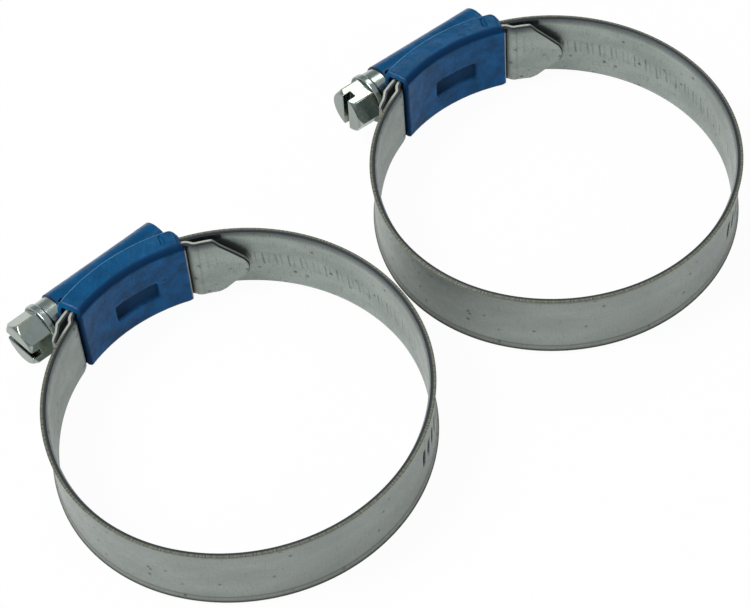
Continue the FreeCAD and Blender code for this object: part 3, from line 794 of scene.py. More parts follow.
@dataclass
class Housing:
    """Painted sheet folded into a curved channel with a straight barrel over its ridge.

    The whole solid is one field: a channel turned about the ring's axis, joined to a barrel
    along the screw, less the channel's hollow, the bore, the bearings and the dent.
    """

    # The folded channel. A soft size is the width over which two surfaces flow together.
    saddle_radius: float = 26.7
    ridge_radius: float = 31.0
    width: float = 13.7
    arc: float = 43.0
    saddle_fold: float = 1.15
    ridge_fold: float = 0.55
    corner_cut: float = 0.9
    ridge_cut: float = 1.6
    side_wall: float = 0.7
    sheet: float = 0.8
    room_corner: float = 0.25
    end_soft: float = 0.16
    head_soft: float = 0.55
    head_soft_depth: float = 0.6
    cut_soft: float = 0.2
    ridge_soft: float = 0.25
    crisp: float = 0.1
    # The barrel and what is cut out for the screw.
    screw_angle: float = 3.0
    axis_radius: float = 32.0
    barrel_radius: float = 4.2
    barrel_soft: float = 0.35
    bore: float = 3.35
    to_head: float = 8.6
    to_tip: float = 11.8
    lip: float = 1.1
    bearing: float = 2.45
    notch: float = 4.15
    notch_soft: float = 0.08
    # The lug that stands in the strip's window, and the dent in its back.
    lug_middle: float = -2.05
    lug_arc: float = 16.5
    lug_longer: float = 1.08
    lug_height: float = 3.4
    lug_drop: float = 0.8
    lug_wall: float = 0.15
    lug_foot: float = 0.3
    lug_rise: float = 0.4
    lug_corner: float = 0.2
    lug_soft: float = 0.15
    dent_depth: float = 0.80
    dent_tilt: float = 0.20
    dent_saddle: float = 0.22
    dent_leans: tuple[float, float] = (0.42, 0.35)
    dent_soft: float = 0.45
    dent_rim: float = 0.35
    # A short mark across the ridge, a small pit on the barrel, and the skin.
    mark_angle: float = -15.6
    mark_radius: float = 29.4
    mark_half: tuple[float, float] = (0.95, 0.3)
    mark_corner: float = 0.25
    mark_depth: float = 0.25
    mark_soft: float = 0.12
    pit: Point = (30.75, 9.35, 11.05)
    pit_radius: float = 0.5
    pit_soft: float = 0.15
    skin_wave: float = 0.018
    skin_length: float = 1.7
    # The sampled box, and the side of its cells.
    box_low: Point = (24.2, -13.4, -0.4)
    box_high: Point = (37.2, 11.6, 14.2)
    step: float = 0.15
    _mesh: tuple = field(default=(), repr=False)

    def _about_screw(self, x: Array, y: Array, z: Array) -> tuple[Array, Array]:
        """Distance from the screw's axis, and place along it towards the head."""
        out, along = turned(x, y, self.screw_angle)
        return np.hypot(out - self.axis_radius, z - self.width / 2), along

    def _from_pit(self, x: Array, y: Array, z: Array) -> Array:
        """Distance from the middle of the small pit."""
        return np.sqrt((x - self.pit[0]) ** 2 + (y - self.pit[1]) ** 2 + (z - self.pit[2]) ** 2)

    def _channel(self, reach: Array, angle: Array, high: Array) -> Array:
        """The channel without its hollow: a rounded box turned about the ring's axis.

        Its ends are planes through that axis, softer at the head. The corners of both ends
        and the far end of the ridge are cut off at 45 degrees.

        Args:
            reach: Distances from the ring's axis.
            angle: Angles round it, in radians.
            high: Heights from the housing's middle.

        Returns:
            Signed distance to the filled channel.
        """
        middle = (self.saddle_radius + self.ridge_radius) / 2
        deep = (self.ridge_radius - self.saddle_radius) / 2
        corner = np.where(reach < middle, self.saddle_fold, self.ridge_fold)
        channel = rounded_box(reach - middle, high, deep, self.width / 2, corner)
        half_arc = math.radians(self.arc / 2)
        end = reach * np.sin(np.abs(angle) - half_arc)
        at_head = (angle > 0.0) & (reach < self.saddle_radius + self.head_soft_depth)
        channel = smooth_max(channel, end, np.where(at_head, self.head_soft, self.end_soft))
        cut = (end + np.abs(high) - self.width / 2 + self.corner_cut) / math.sqrt(2)
        channel = smooth_max(channel, cut, self.cut_soft)
        far_end = reach * np.sin(-angle - half_arc)
        ridge = (reach - self.ridge_radius + far_end + self.ridge_cut) / math.sqrt(2)
        return smooth_max(channel, ridge, self.ridge_soft)

    def _lug(self, reach: Array, share: Array, high: Array) -> Array:
        """The lug: a rounded box turned about the ring's axis, with plane ends.

        Args:
            reach: Distances from the ring's axis.
            share: Places along the dent, from minus one to one.
            high: Heights from the dent's middle.

        Returns:
            Signed distance to the filled lug.
        """
        foot = self.saddle_radius + self.lug_foot
        top = self.saddle_radius + self.sheet + self.lug_rise
        lug = rounded_box(reach - (foot + top) / 2, high, (top - foot) / 2,
                          self.lug_height / 2 + self.lug_wall, self.lug_corner)
        past = (np.abs(share) - self.lug_longer) * reach * math.radians(self.lug_arc / 2)
        return smooth_max(lug, past, self.crisp)

    def _dent(self, reach: Array, share: Array, high: Array) -> Array:
        """Hollow side of the lug: a pocket with leaning walls and a low saddle in its middle.

        The floor is deepest a little before each end and rises by a cosine in the middle. The
        walls lean inward with depth, so that the pocket is smaller at its floor.

        Args:
            reach: Distances from the ring's axis.
            share: Places along the dent, from minus one to one.
            high: Heights from the dent's middle.

        Returns:
            Signed distance to the pocket.
        """
        rise = (1.0 + np.cos(np.pi * np.clip(share * 1.3, -1.0, 1.0))) / 2
        depth = self.dent_depth + self.dent_tilt * share - self.dent_saddle * rise
        floor = reach - self.saddle_radius - depth
        inward = np.clip(reach - self.saddle_radius, 0.0, 1.0)
        sides = np.abs(high) - self.lug_height / 2 + self.dent_leans[0] * inward
        ends = (np.abs(share) - 1.0) * reach * math.radians(self.lug_arc / 2)
        ends = ends + self.dent_leans[1] * inward
        return smooth_max(smooth_max(floor, sides, self.dent_soft), ends, self.dent_soft)

    def shape(self, x: Array, y: Array, z: Array) -> Array:
        """Signed distance to the painted sheet, negative inside it.

        Args:
            x: Coordinates outward through the housing's middle.
            y: Coordinates towards the screw's head.
            z: Heights above the floor.

        Returns:
            The channel and barrel joined, less every hollow, with a little waviness.
        """
        reach, angle = np.hypot(x, y), np.arctan2(y, x)
        high = z - self.width / 2
        from_axis, along = self._about_screw(x, y, z)
        barrel = smooth_max(from_axis - self.barrel_radius, along - self.to_head, self.crisp)
        barrel = smooth_max(barrel, -self.to_tip - along, self.crisp)
        solid = smooth_min(self._channel(reach, angle, high), barrel, self.barrel_soft)

        inner, outer = self.saddle_radius + self.sheet, self.ridge_radius - self.sheet
        room = rounded_box(reach - (inner + outer) / 2, high, (outer - inner) / 2,
                           self.width / 2 - self.side_wall, self.room_corner)
        bore = np.maximum(from_axis - self.bore, along - self.to_head + self.lip)
        bore = np.maximum(bore, -self.to_tip + self.lip - along)
        for hollow in (room, bore, from_axis - self.bearing):
            solid = smooth_max(solid, -hollow, self.crisp)
        notch = np.maximum(from_axis - self.notch, self.to_head - along)
        solid = smooth_max(solid, -notch, self.notch_soft)

        share = (angle - math.radians(self.lug_middle)) / math.radians(self.lug_arc / 2)
        lug_high = high + self.lug_drop
        solid = smooth_min(solid, self._lug(reach, share, lug_high), self.lug_soft)
        solid = smooth_max(solid, -self._dent(reach, share, lug_high), self.dent_rim)

        out, beside = turned(x, y, self.mark_angle)
        mark = rounded_box(out - self.mark_radius, beside, *self.mark_half, self.mark_corner)
        mark = np.maximum(mark, self.width - self.mark_depth - z)
        solid = smooth_max(solid, -mark, self.mark_soft)
        solid = smooth_max(solid, self.pit_radius - self._from_pit(x, y, z), self.pit_soft)
        return solid - self.skin_wave * waviness(x, y, z, self.skin_length)

    def masks(self, points: Array) -> dict[str, Array]:
        """What the paint's material reads at each vertex, from zero to one.

        Each mask is a product of S-shaped steps in the depth from the saddle, the angle, the
        height and the direction that the surface faces.

        Args:
            points: Vertex places in the clamp's frame.

        Returns:
            Saddle for the face towards the hose, where the paint is lighter as painted light,
            fold for painted shade in the folds, on the head's end and in the dent, ridge_highlight
            for a painted highlight along the ridge's upper fold, bare for the cut end at the
            tongue, and hollow for painted shade inside.
        """
        x, y, z = points.T
        normal = gradient(self.shape, points, 0.05)
        normal /= np.linalg.norm(normal, axis=1)[:, None] + TINY
        upward = normal[:, 2]
        reach, angle = np.hypot(x, y), np.degrees(np.arctan2(y, x))
        outward = (normal[:, 0] * x + normal[:, 1] * y) / reach
        depth, past_ridge = reach - self.saddle_radius, reach - self.ridge_radius
        high, half, half_arc = np.abs(z - self.width / 2), self.width / 2, self.arc / 2

        # Painted shade: the folds, the rounded head end and the dent are darkened through the mask
        # fold.
        corner = ramp(high, half - 1.45, half - 0.75) * (1.0 - ramp(depth, 0.5, 1.35))
        corner *= ramp(np.abs(upward), 0.05, 0.5)
        head_end = ramp(angle, half_arc - 1.3, half_arc - 0.5) * (1.0 - ramp(depth, 0.8, 1.1))
        dented = ramp(depth, 0.12, 0.6) * ramp(-outward, -0.3, 0.4)
        dented *= (np.abs(angle) < half_arc - 1.0) & (high < 4.0)
        # Painted highlight along the ridge's upper fold.
        ridge_highlight = ramp(outward, 0.30, 0.60) * ramp(upward, 0.30, 0.60)
        ridge_highlight *= (past_ridge > -0.8) & (past_ridge < 0.2) & (z > self.width - 0.9)
        bare = ramp(-angle, half_arc - 0.50, half_arc - 0.36) * (1.0 - ramp(depth, 0.75, 0.95))

        # Painted shade: the inside of the channel, the bore, the notch's side and the pit are
        # darkened through the mask hollow, and the dent by half.
        from_axis, along = self._about_screw(x, y, z)
        in_room = (depth > self.sheet - 0.1) & (past_ridge < 0.1 - self.sheet)
        in_room &= high < half - self.side_wall + 0.1
        in_room &= (outward > -0.3) | (past_ridge > -self.sheet - 0.3)
        in_bore = from_axis < self.bore + 0.15
        in_bore |= (from_axis < self.notch + 0.12) & (along > self.to_head - 0.1)
        beside = (from_axis < self.notch + 0.7) & (along > self.to_head - 1.0)
        beside &= reach < self.axis_radius - 0.6
        in_pit = self._from_pit(x, y, z) < self.pit_radius + 0.1
        inside = (in_room | in_bore | beside | in_pit).astype(float)
        # The saddle mask lays on painted light: a lighter paint on the face towards the hose.
        return {
            "saddle": ramp(-outward, 0.55, 0.95) * (1.0 - ramp(depth, 0.35, 0.8)),
            "fold": np.maximum(np.maximum(corner, 0.8 * head_end), 0.85 * dented),
            "ridge_highlight": ridge_highlight,
            "bare": bare * (high < half - 0.9),
            "hollow": np.maximum(inside, 0.5 * dented * ramp(angle, -1.0, 5.0)),
        }

    def make(self, side: Side, finish: bpy.types.Material) -> Piece:
        """Build the housing of one clamp, store its masks and dress it.

        Args:
            side: Which clamp.
            finish: The paint.

        Returns:
            The piece, which rides on the clamp's frame and stands for its housing.
        """
        if not self._mesh:
            step = self.step * 1.0
            self._mesh = net_surface(self.shape, self.box_low, self.box_high, step)
        points, quads = self._mesh
        piece = write_mesh(side.value + "_housing_shell", PLACES[side].to_scene(points), quads)
        write_masks(piece, self.masks(points))
        piece.data.materials.append(finish)
        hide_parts(side.value + "_housing")
        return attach(piece, side.value + "_frame")


# ---------------------------------------------------------------------------------------
# Strip
# ---------------------------------------------------------------------------------------


@dataclass
class Strip:
    """Steel strip bent into a ring: its tongue lies inside, its threaded tail outside.

    The centre line is a distance from the ring's centre at each angle. It lies flush with
    the saddle under the tongue, steps out over the saddle through two small arcs, steps back,
    and widens over two large arcs to the radius at which the tail slides over it.
    """

    # The section: flat, with both borders bent outward and the cut edges rounded.
    width: float = 12.0
    thick: float = 0.8
    lift: float = 0.35
    run: float = 0.95
    middle: float = 6.85
    edge_round: float = 0.07
    edge_inset: float = 0.9
    # The centre line.
    flush: float = 27.15
    inside: float = 27.95
    loose: float = 28.85
    bend: float = 1.6
    bend_start: float = 20.8
    grows_to: float = 125.0
    # Both ends.
    tongue_end: float = -41.5
    tongue_taper: float = 5.2
    tongue_tip: float = 2.6
    tail_end: float = 390.0
    tail_taper: float = 1.8
    tail_half: float = 4.2
    tail_round: tuple = (0.5, 0.25)
    spring_from: float = 385.0
    spring: float = 0.55
    # The pressed thread, and how it prints through: strength, place and width of each line.
    pitch: float = 2.08
    worm_radius: float = 3.15
    groove_radius: float = 29.0
    axis_radius: float = 32.0
    contact: float = 363.0
    grooves_before: int = 37
    grooves_after: int = 4
    groove_reach: float = 3.25
    groove_half: float = 0.40
    groove_flare: float = 0.42
    groove_soft: float = 0.05
    print_lines: tuple = ((0.62, 0.42, 0.13), (0.30, -0.42, 0.12))
    # The window that the housing's lug stands in.
    window_middle: float = -2.05
    window_radius: float = 28.35
    window_half: float = 4.78
    window_low: float = -3.0
    window_high: float = 1.4
    window_angles: tuple = (-11.85, 7.75)
    # Shades: sign of the side, strength, start and end of each step across the strip.
    inner_border: tuple = ((1.0, 0.70, 4.9, 5.95), (-1.0, 0.75, 5.70, 5.90))
    outer_border: tuple = ((1.0, 0.30, 4.9, 5.6), (1.0, 0.45, 5.70, 5.95),
                           (-1.0, 0.20, 4.85, 5.05), (-1.0, 0.78, 5.50, 5.80))
    bend_lines: tuple = ((0.30, -25.4, 0.3), (0.12, -28.2, 0.4))
    # The three lengths, and one angle along each.
    joins: tuple = (120.0, 240.0)
    flex: tuple = (60.0, 180.0, 299.303)
    flex_reach: float = 13.0
    sharp_from: float = 38.0

    def __post_init__(self) -> None:
        """Work out the centres and radii of the arcs."""
        outer, inner = self.flush + self.bend, self.inside - self.bend
        squares = outer ** 2 + inner ** 2 - 4 * self.bend ** 2
        self.low = self.bend_start + math.degrees(math.acos(squares / (2 * outer * inner)))
        self.inner_foot = unit(self.bend_start) * inner
        self.outer_foot = unit(self.low) * outer
        touch = (self.inner_foot + self.outer_foot) / 2
        self.touch = math.degrees(math.atan2(touch[1], touch[0]))
        self.halfway = (self.low + self.grows_to) / 2
        bow = 2 * (1 - math.cos(math.radians(self.halfway - self.low)))
        lean = (self.loose - self.flush) / bow
        self.wide = (-lean * unit(self.low), self.flush + lean)
        self.tight = (lean * unit(self.grows_to), self.loose - lean)
        self.groove_step = math.degrees(self.pitch / self.groove_radius)

    @staticmethod
    def _ray(angle: Array, centre: Array, radius: float, side: float) -> Array:
        """Distance along a ray from the ring's centre to one side of a circle.

        Args:
            angle: Angles of the rays.
            centre: Centre of the circle.
            radius: Its radius.
            side: Plus one for its far side, minus one for its near side.

        Returns:
            The distances.
        """
        turn = np.radians(angle)
        ahead = centre[0] * np.cos(turn) + centre[1] * np.sin(turn)
        inside = np.maximum(ahead ** 2 - centre @ centre + radius ** 2, 0.0)
        return ahead + side * np.sqrt(inside)

    def reach(self, angle: Array) -> Array:
        """Distance of the strip's middle layer from the ring's centre.

        From the saddle outward: a circle, two small arcs, two large ones, and a circle. The
        tail springs outward over its last few degrees by a square.

        Args:
            angle: Angles along the strip.

        Returns:
            The distances.
        """
        fold = np.where(angle < 30.0, np.abs(angle), angle)
        result = np.full(fold.shape, self.loose)
        result = np.where(fold < self.grows_to, self._ray(fold, *self.tight, 1.0), result)
        result = np.where(fold < self.halfway, self._ray(fold, *self.wide, 1.0), result)
        result = np.where((angle < 0.0) & (fold > self.low), self.flush, result)
        for limit, foot, way in ((self.low, self.outer_foot, -1.0),
                                 (self.touch, self.inner_foot, 1.0)):
            result = np.where(fold < limit, self._ray(fold, foot, self.bend, way), result)
        result = np.where(fold < self.bend_start, self.inside, result)
        sprung = np.maximum(angle - self.spring_from, 0.0) / (self.tail_end - self.spring_from)
        return result + self.spring * sprung ** 2

    def half_width(self, angle: Array) -> Array:
        """Half the strip's width: full, with a round tongue and a blunt tail.

        The tongue's circle touches the end line and both slanted sides, which start at the
        full width at the taper's length from the end. The tail's corners are slanted off.

        Args:
            angle: Angles along the strip.

        Returns:
            The half widths.
        """
        half, tip = self.width / 2, self.tongue_tip
        back = np.abs(np.radians(angle - self.tongue_end)) * self.flush
        run = self.tongue_taper - tip
        lean = math.atan2(half, run) + math.acos(tip / math.hypot(run, half))
        touch = (tip + tip * math.cos(lean), tip * math.sin(lean))
        slope = (half - touch[1]) / (self.tongue_taper - touch[0])
        line = touch[1] + (back - touch[0]) * slope
        circle = np.sqrt(np.maximum(tip ** 2 - (tip - back) ** 2, 1e-4))
        result = np.minimum(np.where(back < touch[0], circle, line), half)
        back = np.abs(np.radians(angle - self.tail_end)) * self.loose
        rounding = self.tail_round[0] * np.exp(-back / self.tail_round[1])
        corner = self.tail_half + (half - self.tail_half) * back / self.tail_taper - rounding
        return np.minimum(result, corner)

    def _in_groove(self, angle: Array, across: Array) -> tuple[Array, Array]:
        """Places beside and along the nearest groove, which leans by the thread's lead.

        Args:
            angle: Angles along the strip.
            across: Heights from the strip's middle.

        Returns:
            Signed distances from the groove's middle line, and places along that line.
        """
        number = np.round((angle - self.contact) / self.groove_step)
        number = np.clip(number, -self.grooves_before, self.grooves_after)
        away = np.radians(angle - self.contact - number * self.groove_step) * self.groove_radius
        lean = math.atan(self.pitch / (2 * math.pi * self.worm_radius))
        cos, sin = math.cos(lean), math.sin(lean)
        return away * cos - across * sin, across * cos + away * sin

    def pressed(self, angle: Array, across: Array) -> Array:
        """Depth of the pressed thread in the outer face.

        Each groove is the print of a disc with the worm's outline, whose width grows from
        floor to brim. The depth is how far the disc reaches below the outer face.

        Args:
            angle: Angles along the strip.
            across: Heights from the strip's middle.

        Returns:
            The depths.
        """
        beside, along = self._in_groove(angle, across)
        flare = np.maximum(np.abs(beside) - self.groove_half, 0.0) / self.groove_flare
        disc = self.groove_reach - flare
        rise = self.axis_radius - self.loose - self.thick / 2
        depth = np.sqrt(np.maximum(disc ** 2 - along ** 2, 0.0)) - rise
        depth = np.where(disc > 0.0, depth, -1.0)
        return 0.5 * (depth + np.sqrt(depth ** 2 + self.groove_soft ** 2))

    def printed(self, angle: Array, across: Array) -> Array:
        """How strongly the pressed thread prints through to the inner face, from zero to one.

        Each groove shows as two thin lines along its sides, a bell curve across each line,
        which fade out before the groove's ends. The material darkens them, a painted shade of
        their low relief.

        Args:
            angle: Angles along the strip.
            across: Heights from the strip's middle.

        Returns:
            The strengths.
        """
        beside, along = self._in_groove(angle, across)
        lines = sum(most * bell(beside, *line) for most, *line in self.print_lines)
        return lines * (1.0 - ramp(np.abs(along), 1.0, 1.5))

    def bend_marks(self, angle: Array) -> Array:
        """Painted shade in bell curves at the bends' ends; a step darkens the tail's end."""
        bends = sum(most * bell(angle, *line) for most, *line in self.bend_lines)
        return bends + 0.85 * ramp(angle, 378.0, 381.0)

    def border_shade(self, across: Array, inner: bool) -> Array:
        """How strong the painted shade along the strip's bent borders is on one of its faces, from
        zero to one.

        They are sums of S-shaped steps, with one thin bell curve low on the outer face.

        Args:
            across: Heights from the strip's middle.
            inner: Whether the face is the inner one.

        Returns:
            The strengths.
        """
        steps = self.inner_border if inner else self.outer_border
        shade = sum(most * ramp(sign * across, *step) for sign, most, *step in steps)
        return shade if inner else shade + 0.36 * bell(across, -5.05, 0.14)

    def tongue_tip_shadow(self, angle: Array, across: Array) -> Array:
        """A painted shadow: a thin dark line along the tongue's round tip, strongest at its far
        end.

        Args:
            angle: Angles along the strip.
            across: Heights from the strip's middle.

        Returns:
            The strengths, from zero to one.
        """
        back = np.radians(angle - self.tongue_end) * self.flush
        from_tip = self.tongue_tip - np.hypot(back - self.tongue_tip, across)
        line = 1.0 - ramp(from_tip, 0.06, 0.22)
        return 0.85 * line * (1.0 - ramp(back, 0.35, 0.85))

    def tucked_shade(self, angle: Array, across: Array) -> Array:
        """Painted shade on the inner face: behind the tongue and at the saddle's ends.

        The first ends a short way above the tongue's outline, carried to the tail by a full
        turn, and fades out at the tongue's tip and below its middle. The second is a line
        across the strip at each end of the saddle, with the painted shade of a small dimple
        beside it.

        Args:
            angle: Angles along the strip.
            across: Heights from the strip's middle.

        Returns:
            The strengths, from zero to one.
        """
        away = np.abs(np.where(angle > 180.0, 180.0, angle))
        gap = 0.95 * (1.0 - ramp(away, 22.55, 23.05))
        dimple = 0.95 * bell(angle, -23.75, 0.50) * bell(across, -1.5, 0.30)
        behind = angle - 360.0
        above = across - self.half_width(behind)
        shade = 0.80 * (1.0 - ramp(above, 0.25, 1.35)) * ramp(across, -1.5, 0.5)
        shade = shade * ramp(behind, self.tongue_end - 0.6, self.tongue_end + 1.6)
        shade = shade * (1.0 - ramp(behind, -26.0, -22.0))
        return np.maximum(np.maximum(shade, gap), dimple)

    def lifted(self, across: Array) -> Array:
        """How far the strip's two edges are bent outward at a height from its middle."""
        past = np.maximum(np.abs(across) - (self.width / 2 - self.run), 0.0)
        return self.lift * past / self.run

    def stations(self, start: float, end: float) -> Array:
        """Angles of the sections: close at the tips, the steps and the thread, wide elsewhere.

        Args:
            start: First angle.
            end: Last angle.

        Returns:
            The angles, from first to last.
        """
        threaded = 0.2
        first_groove = self.contact - (self.grooves_before + 0.6) * self.groove_step
        last_groove = self.contact + (self.grooves_after + 0.6) * self.groove_step
        zones = (
            (self.tongue_end + 1.2, 0.08), (self.tongue_end + 4.0, 0.2),
            (-self.low - 0.4, 0.6), (-self.bend_start + 0.4, 0.25),
            (self.window_angles[0], 0.7), (self.window_angles[1], 0.7),
            (self.bend_start - 0.4, 0.7), (self.low + 0.4, 0.25), (first_groove, 0.9),
            (last_groove, threaded), (self.tail_end - 4.2, 0.5), (self.tail_end - 1.2, 0.2),
            (self.tail_end, 0.08),
        )
        parts = []
        before = self.tongue_end
        for upto, size in zones:
            low, high = max(before, start), min(upto, end)
            if high - low > TINY:
                parts.append(np.linspace(low, high, max(2, math.ceil((high - low) / size) + 1)))
            before = upto
        return np.unique(np.round(np.concatenate(parts), 9))

    def columns(self) -> Array:
        """Shares of the half width across the strip, close together at its bent edges.

        Returns:
            The shares, from minus one to one.
        """
        knee = 1.0 - self.run / (self.width / 2)
        flat = np.linspace(-knee, knee, 37)
        rim = np.linspace(knee, 1.0, 6)[1:]
        return np.concatenate([-rim[::-1], flat, rim])

    def _path(self, angle: Array) -> tuple[Array, Array]:
        """The centre line and its outward direction, across the way to the next places.

        Args:
            angle: Angles along the strip.

        Returns:
            Places on the centre line, and unit vectors outward.
        """
        ahead, behind = angle + 0.01, angle - 0.01
        way = polar(self.reach(ahead), ahead) - polar(self.reach(behind), behind)
        way /= np.linalg.norm(way, axis=1)[:, None]
        return polar(self.reach(angle), angle), np.stack([way[:, 1], -way[:, 0]], axis=1)

    def _section(self, across: Array, depth: Array) -> tuple[Array, Array]:
        """The closed loop of the section at each angle.

        The loop is the outer face from low to high, five places round the upper cut edge, the
        inner face from high to low, and five places round the lower cut edge.

        Args:
            across: Heights of the columns from the strip's middle.
            depth: Depth of the pressed thread there.

        Returns:
            Distances outward from the centre line, and heights from the middle.
        """
        thick, lift, half = self.thick / 2, self.lifted(across), across[:, -1:]
        outer, inner = thick + lift - depth, lift - thick
        cut = self.edge_round
        rim = np.array([thick, thick - cut, 0.0, cut - thick, -thick])
        inset = np.array([cut, 0.0, 0.0, 0.0, cut]) * self.edge_inset
        inset = inset * np.minimum(1.0, half / 0.6)
        offset = [outer[:, 1:-1], lift[:, -1:] + rim, inner[:, -2:0:-1], lift[:, :1] + rim[::-1]]
        height = [across[:, 1:-1], half - inset, across[:, -2:0:-1], inset - half]
        return np.concatenate(offset, axis=1), np.concatenate(height, axis=1)

    def _masks(self, angle: Array, across: Array, depth: Array, faces: int) -> dict[str, Array]:
        """What the strip's material reads at each vertex of the loops, from zero to one.

        Args:
            angle: Angles of the sections.
            across: Heights of the columns from the strip's middle.
            depth: Depth of the pressed thread there.
            faces: Number of the loop's vertices on each face.

        Returns:
            Edge for the cut edges, brim for their outer half, outside for the outer face, which
            gets a painted shade, pressed for painted shade on the grooves' floor, dash for painted
            shade along their print and at the bends, border_shade for painted shade and shadow
            along the bent borders, round the tongue's tip, behind the tongue and at the saddle's
            ends, and fresh for newly cut places.
        """
        outer, upper = slice(0, faces), slice(faces, faces + 5)
        inner, lower = slice(faces + 5, 2 * faces + 5), slice(2 * faces + 5, None)
        masks = {name: np.zeros((len(angle), 2 * faces + 10)) for name in STRIP_MASKS}
        row = angle[:, None]
        from_outer = np.array([1.0, 0.95, 0.5, 0.05, 0.0])
        for rim, brim in ((upper, from_outer), (lower, from_outer[::-1])):
            masks["edge"][:, rim] = 1.0
            masks["brim"][:, rim] = brim
        masks["outside"][:, outer] = 1.0
        # Painted shade on the floor of the grooves.
        masks["pressed"][:, outer] = np.clip(depth[:, 1:-1] / 0.15, 0.0, 1.0)
        # Painted shade along the outer face's bent borders.
        masks["border_shade"][:, outer] = self.border_shade(across, False)[:, 1:-1]
        # Painted shade along the thread's print through the strip and at the bends.
        shown = np.minimum(self.printed(row, across) + self.bend_marks(row), 1.0)
        masks["dash"][:, inner] = shown[:, -2:0:-1]
        # Painted shade and painted shadow on the inner face: the bent borders, the tongue's tip
        # and behind the tongue.
        shade = self.border_shade(across, True) + self.tongue_tip_shadow(row, across)
        shade = np.minimum(shade + self.tucked_shade(row, across), 1.0)
        masks["border_shade"][:, inner] = shade[:, -2:0:-1]
        from_saddle = np.abs(np.where(angle > 180.0, angle - 360.0, angle))
        ends = bell(np.maximum(from_saddle - 26.0, 0.0), 0.0, 3.5)
        ends = np.where((angle < 0.0) | (angle > 370.0), 1.0, ends)
        masks["fresh"] += (0.8 * ends * ((angle < 60.0) | (angle > 370.0)))[:, None]
        return masks

    def surface(self, start: float, end: float) -> tuple[Array, Array, Array, dict[str, Array]]:
        """Carry the strip's section along its centre line between two angles.

        Both faces of the section use the same columns, so that a window through them can be
        walled.

        Args:
            start: First angle.
            end: Last angle.

        Returns:
            Vertex places, faces, places along and across the strip, and the masks.
        """
        angle = self.stations(start, end)
        at_tail = abs(end - self.tail_end) < TINY
        if abs(start - self.tongue_end) < TINY:
            angle[0] += 0.03
        if at_tail:
            angle[-1] -= 0.03
        centre, out = self._path(angle)
        gaps = np.linalg.norm(np.diff(centre, axis=0), axis=1)
        length = np.concatenate([[0.0], np.cumsum(gaps)]) + math.radians(start) * self.loose
        share = self.columns()
        across = share[None, :] * self.half_width(angle)[:, None]
        depth = self.pressed(angle[:, None], across)
        offset, height = self._section(across, depth)
        rows, ring = offset.shape
        flat = centre[:, None, :] + out[:, None, :] * offset[:, :, None]
        points = np.concatenate([flat, height[:, :, None] + self.middle], axis=2)
        faces = len(share) - 2
        keep = self._kept(angle, share, ring)
        quads = [ring_quads(rows, ring)[keep], self._window_walls(keep, ring, faces),
                 self._caps(rows, ring, faces)]
        masks = self._masks(angle, across, depth, faces)
        if at_tail:
            masks["edge"][-1], masks["brim"][-1], masks["fresh"][-1] = 1.0, 0.75, 0.35
        flattened = np.stack([np.repeat(length, ring), height.ravel()])
        return points.reshape(-1, 3), np.concatenate(quads), flattened, masks

    def _kept(self, angle: Array, share: Array, ring: int) -> Array:
        """Which faces stay: all but those in the window that the saddle's lug stands in.

        Args:
            angle: Angles of the sections.
            share: Shares of the half width across the strip.
            ring: Number of vertices in a loop.

        Returns:
            True or false for each row and column of faces.
        """
        keep = np.ones((len(angle) - 1, ring), bool)
        turn = (angle[:-1] + angle[1:]) / 2 - self.window_middle
        in_row = np.abs(np.radians(turn) * self.window_radius) < self.window_half
        in_row &= np.abs(angle[:-1]) < 30.0
        high = (share[1:-2] + share[2:-1]) / 2 * self.width / 2
        column = np.nonzero((high > self.window_low) & (high < self.window_high))[0]
        keep[np.ix_(in_row, column)] = False
        keep[np.ix_(in_row, ring - 7 - column)] = False
        return keep

    @staticmethod
    def _window_walls(keep: Array, ring: int, faces: int) -> Array:
        """Walls between the outer and the inner rim of the window, in one walk round it.

        Args:
            keep: Which faces stay.
            ring: Number of vertices in a loop.
            faces: Number of the loop's vertices on each face.

        Returns:
            Four vertex numbers for each face, or none where there is no window.
        """
        gone_row, gone_column = np.nonzero(~keep[:, :faces - 1])
        if len(gone_row) == 0:
            return np.zeros((0, 4), np.int64)
        first, last = gone_row.min(), gone_row.max() + 1
        low, high = gone_column.min(), gone_column.max() + 1
        down, over = np.arange(first, last), np.arange(low, high)
        row = np.concatenate([down, np.full(len(over), last), down[::-1] + 1,
                              np.full(len(over), first)])
        column = np.concatenate([np.full(len(down), low), over, np.full(len(down), high),
                                 over[::-1] + 1])
        outer, inner = row * ring + column, row * ring + 2 * faces + 4 - column
        return np.stack([outer, np.roll(outer, -1), np.roll(inner, -1), inner], axis=1)

    @staticmethod
    def _caps(rows: int, ring: int, faces: int) -> Array:
        """Close both ends with faces between the upper and the lower half of the loop.

        Args:
            rows: Number of sections.
            ring: Number of vertices in a loop.
            faces: Number of the loop's vertices on each face.

        Returns:
            Four vertex numbers for each face.
        """
        start = faces + 2
        step = np.arange(ring // 2 - 1)
        one, two = (start + 1 + step) % ring, (start - step) % ring
        first = np.stack([one, (one + 1) % ring, (two - 1) % ring, two], axis=1)
        return np.concatenate([first, first[:, ::-1] + (rows - 1) * ring])

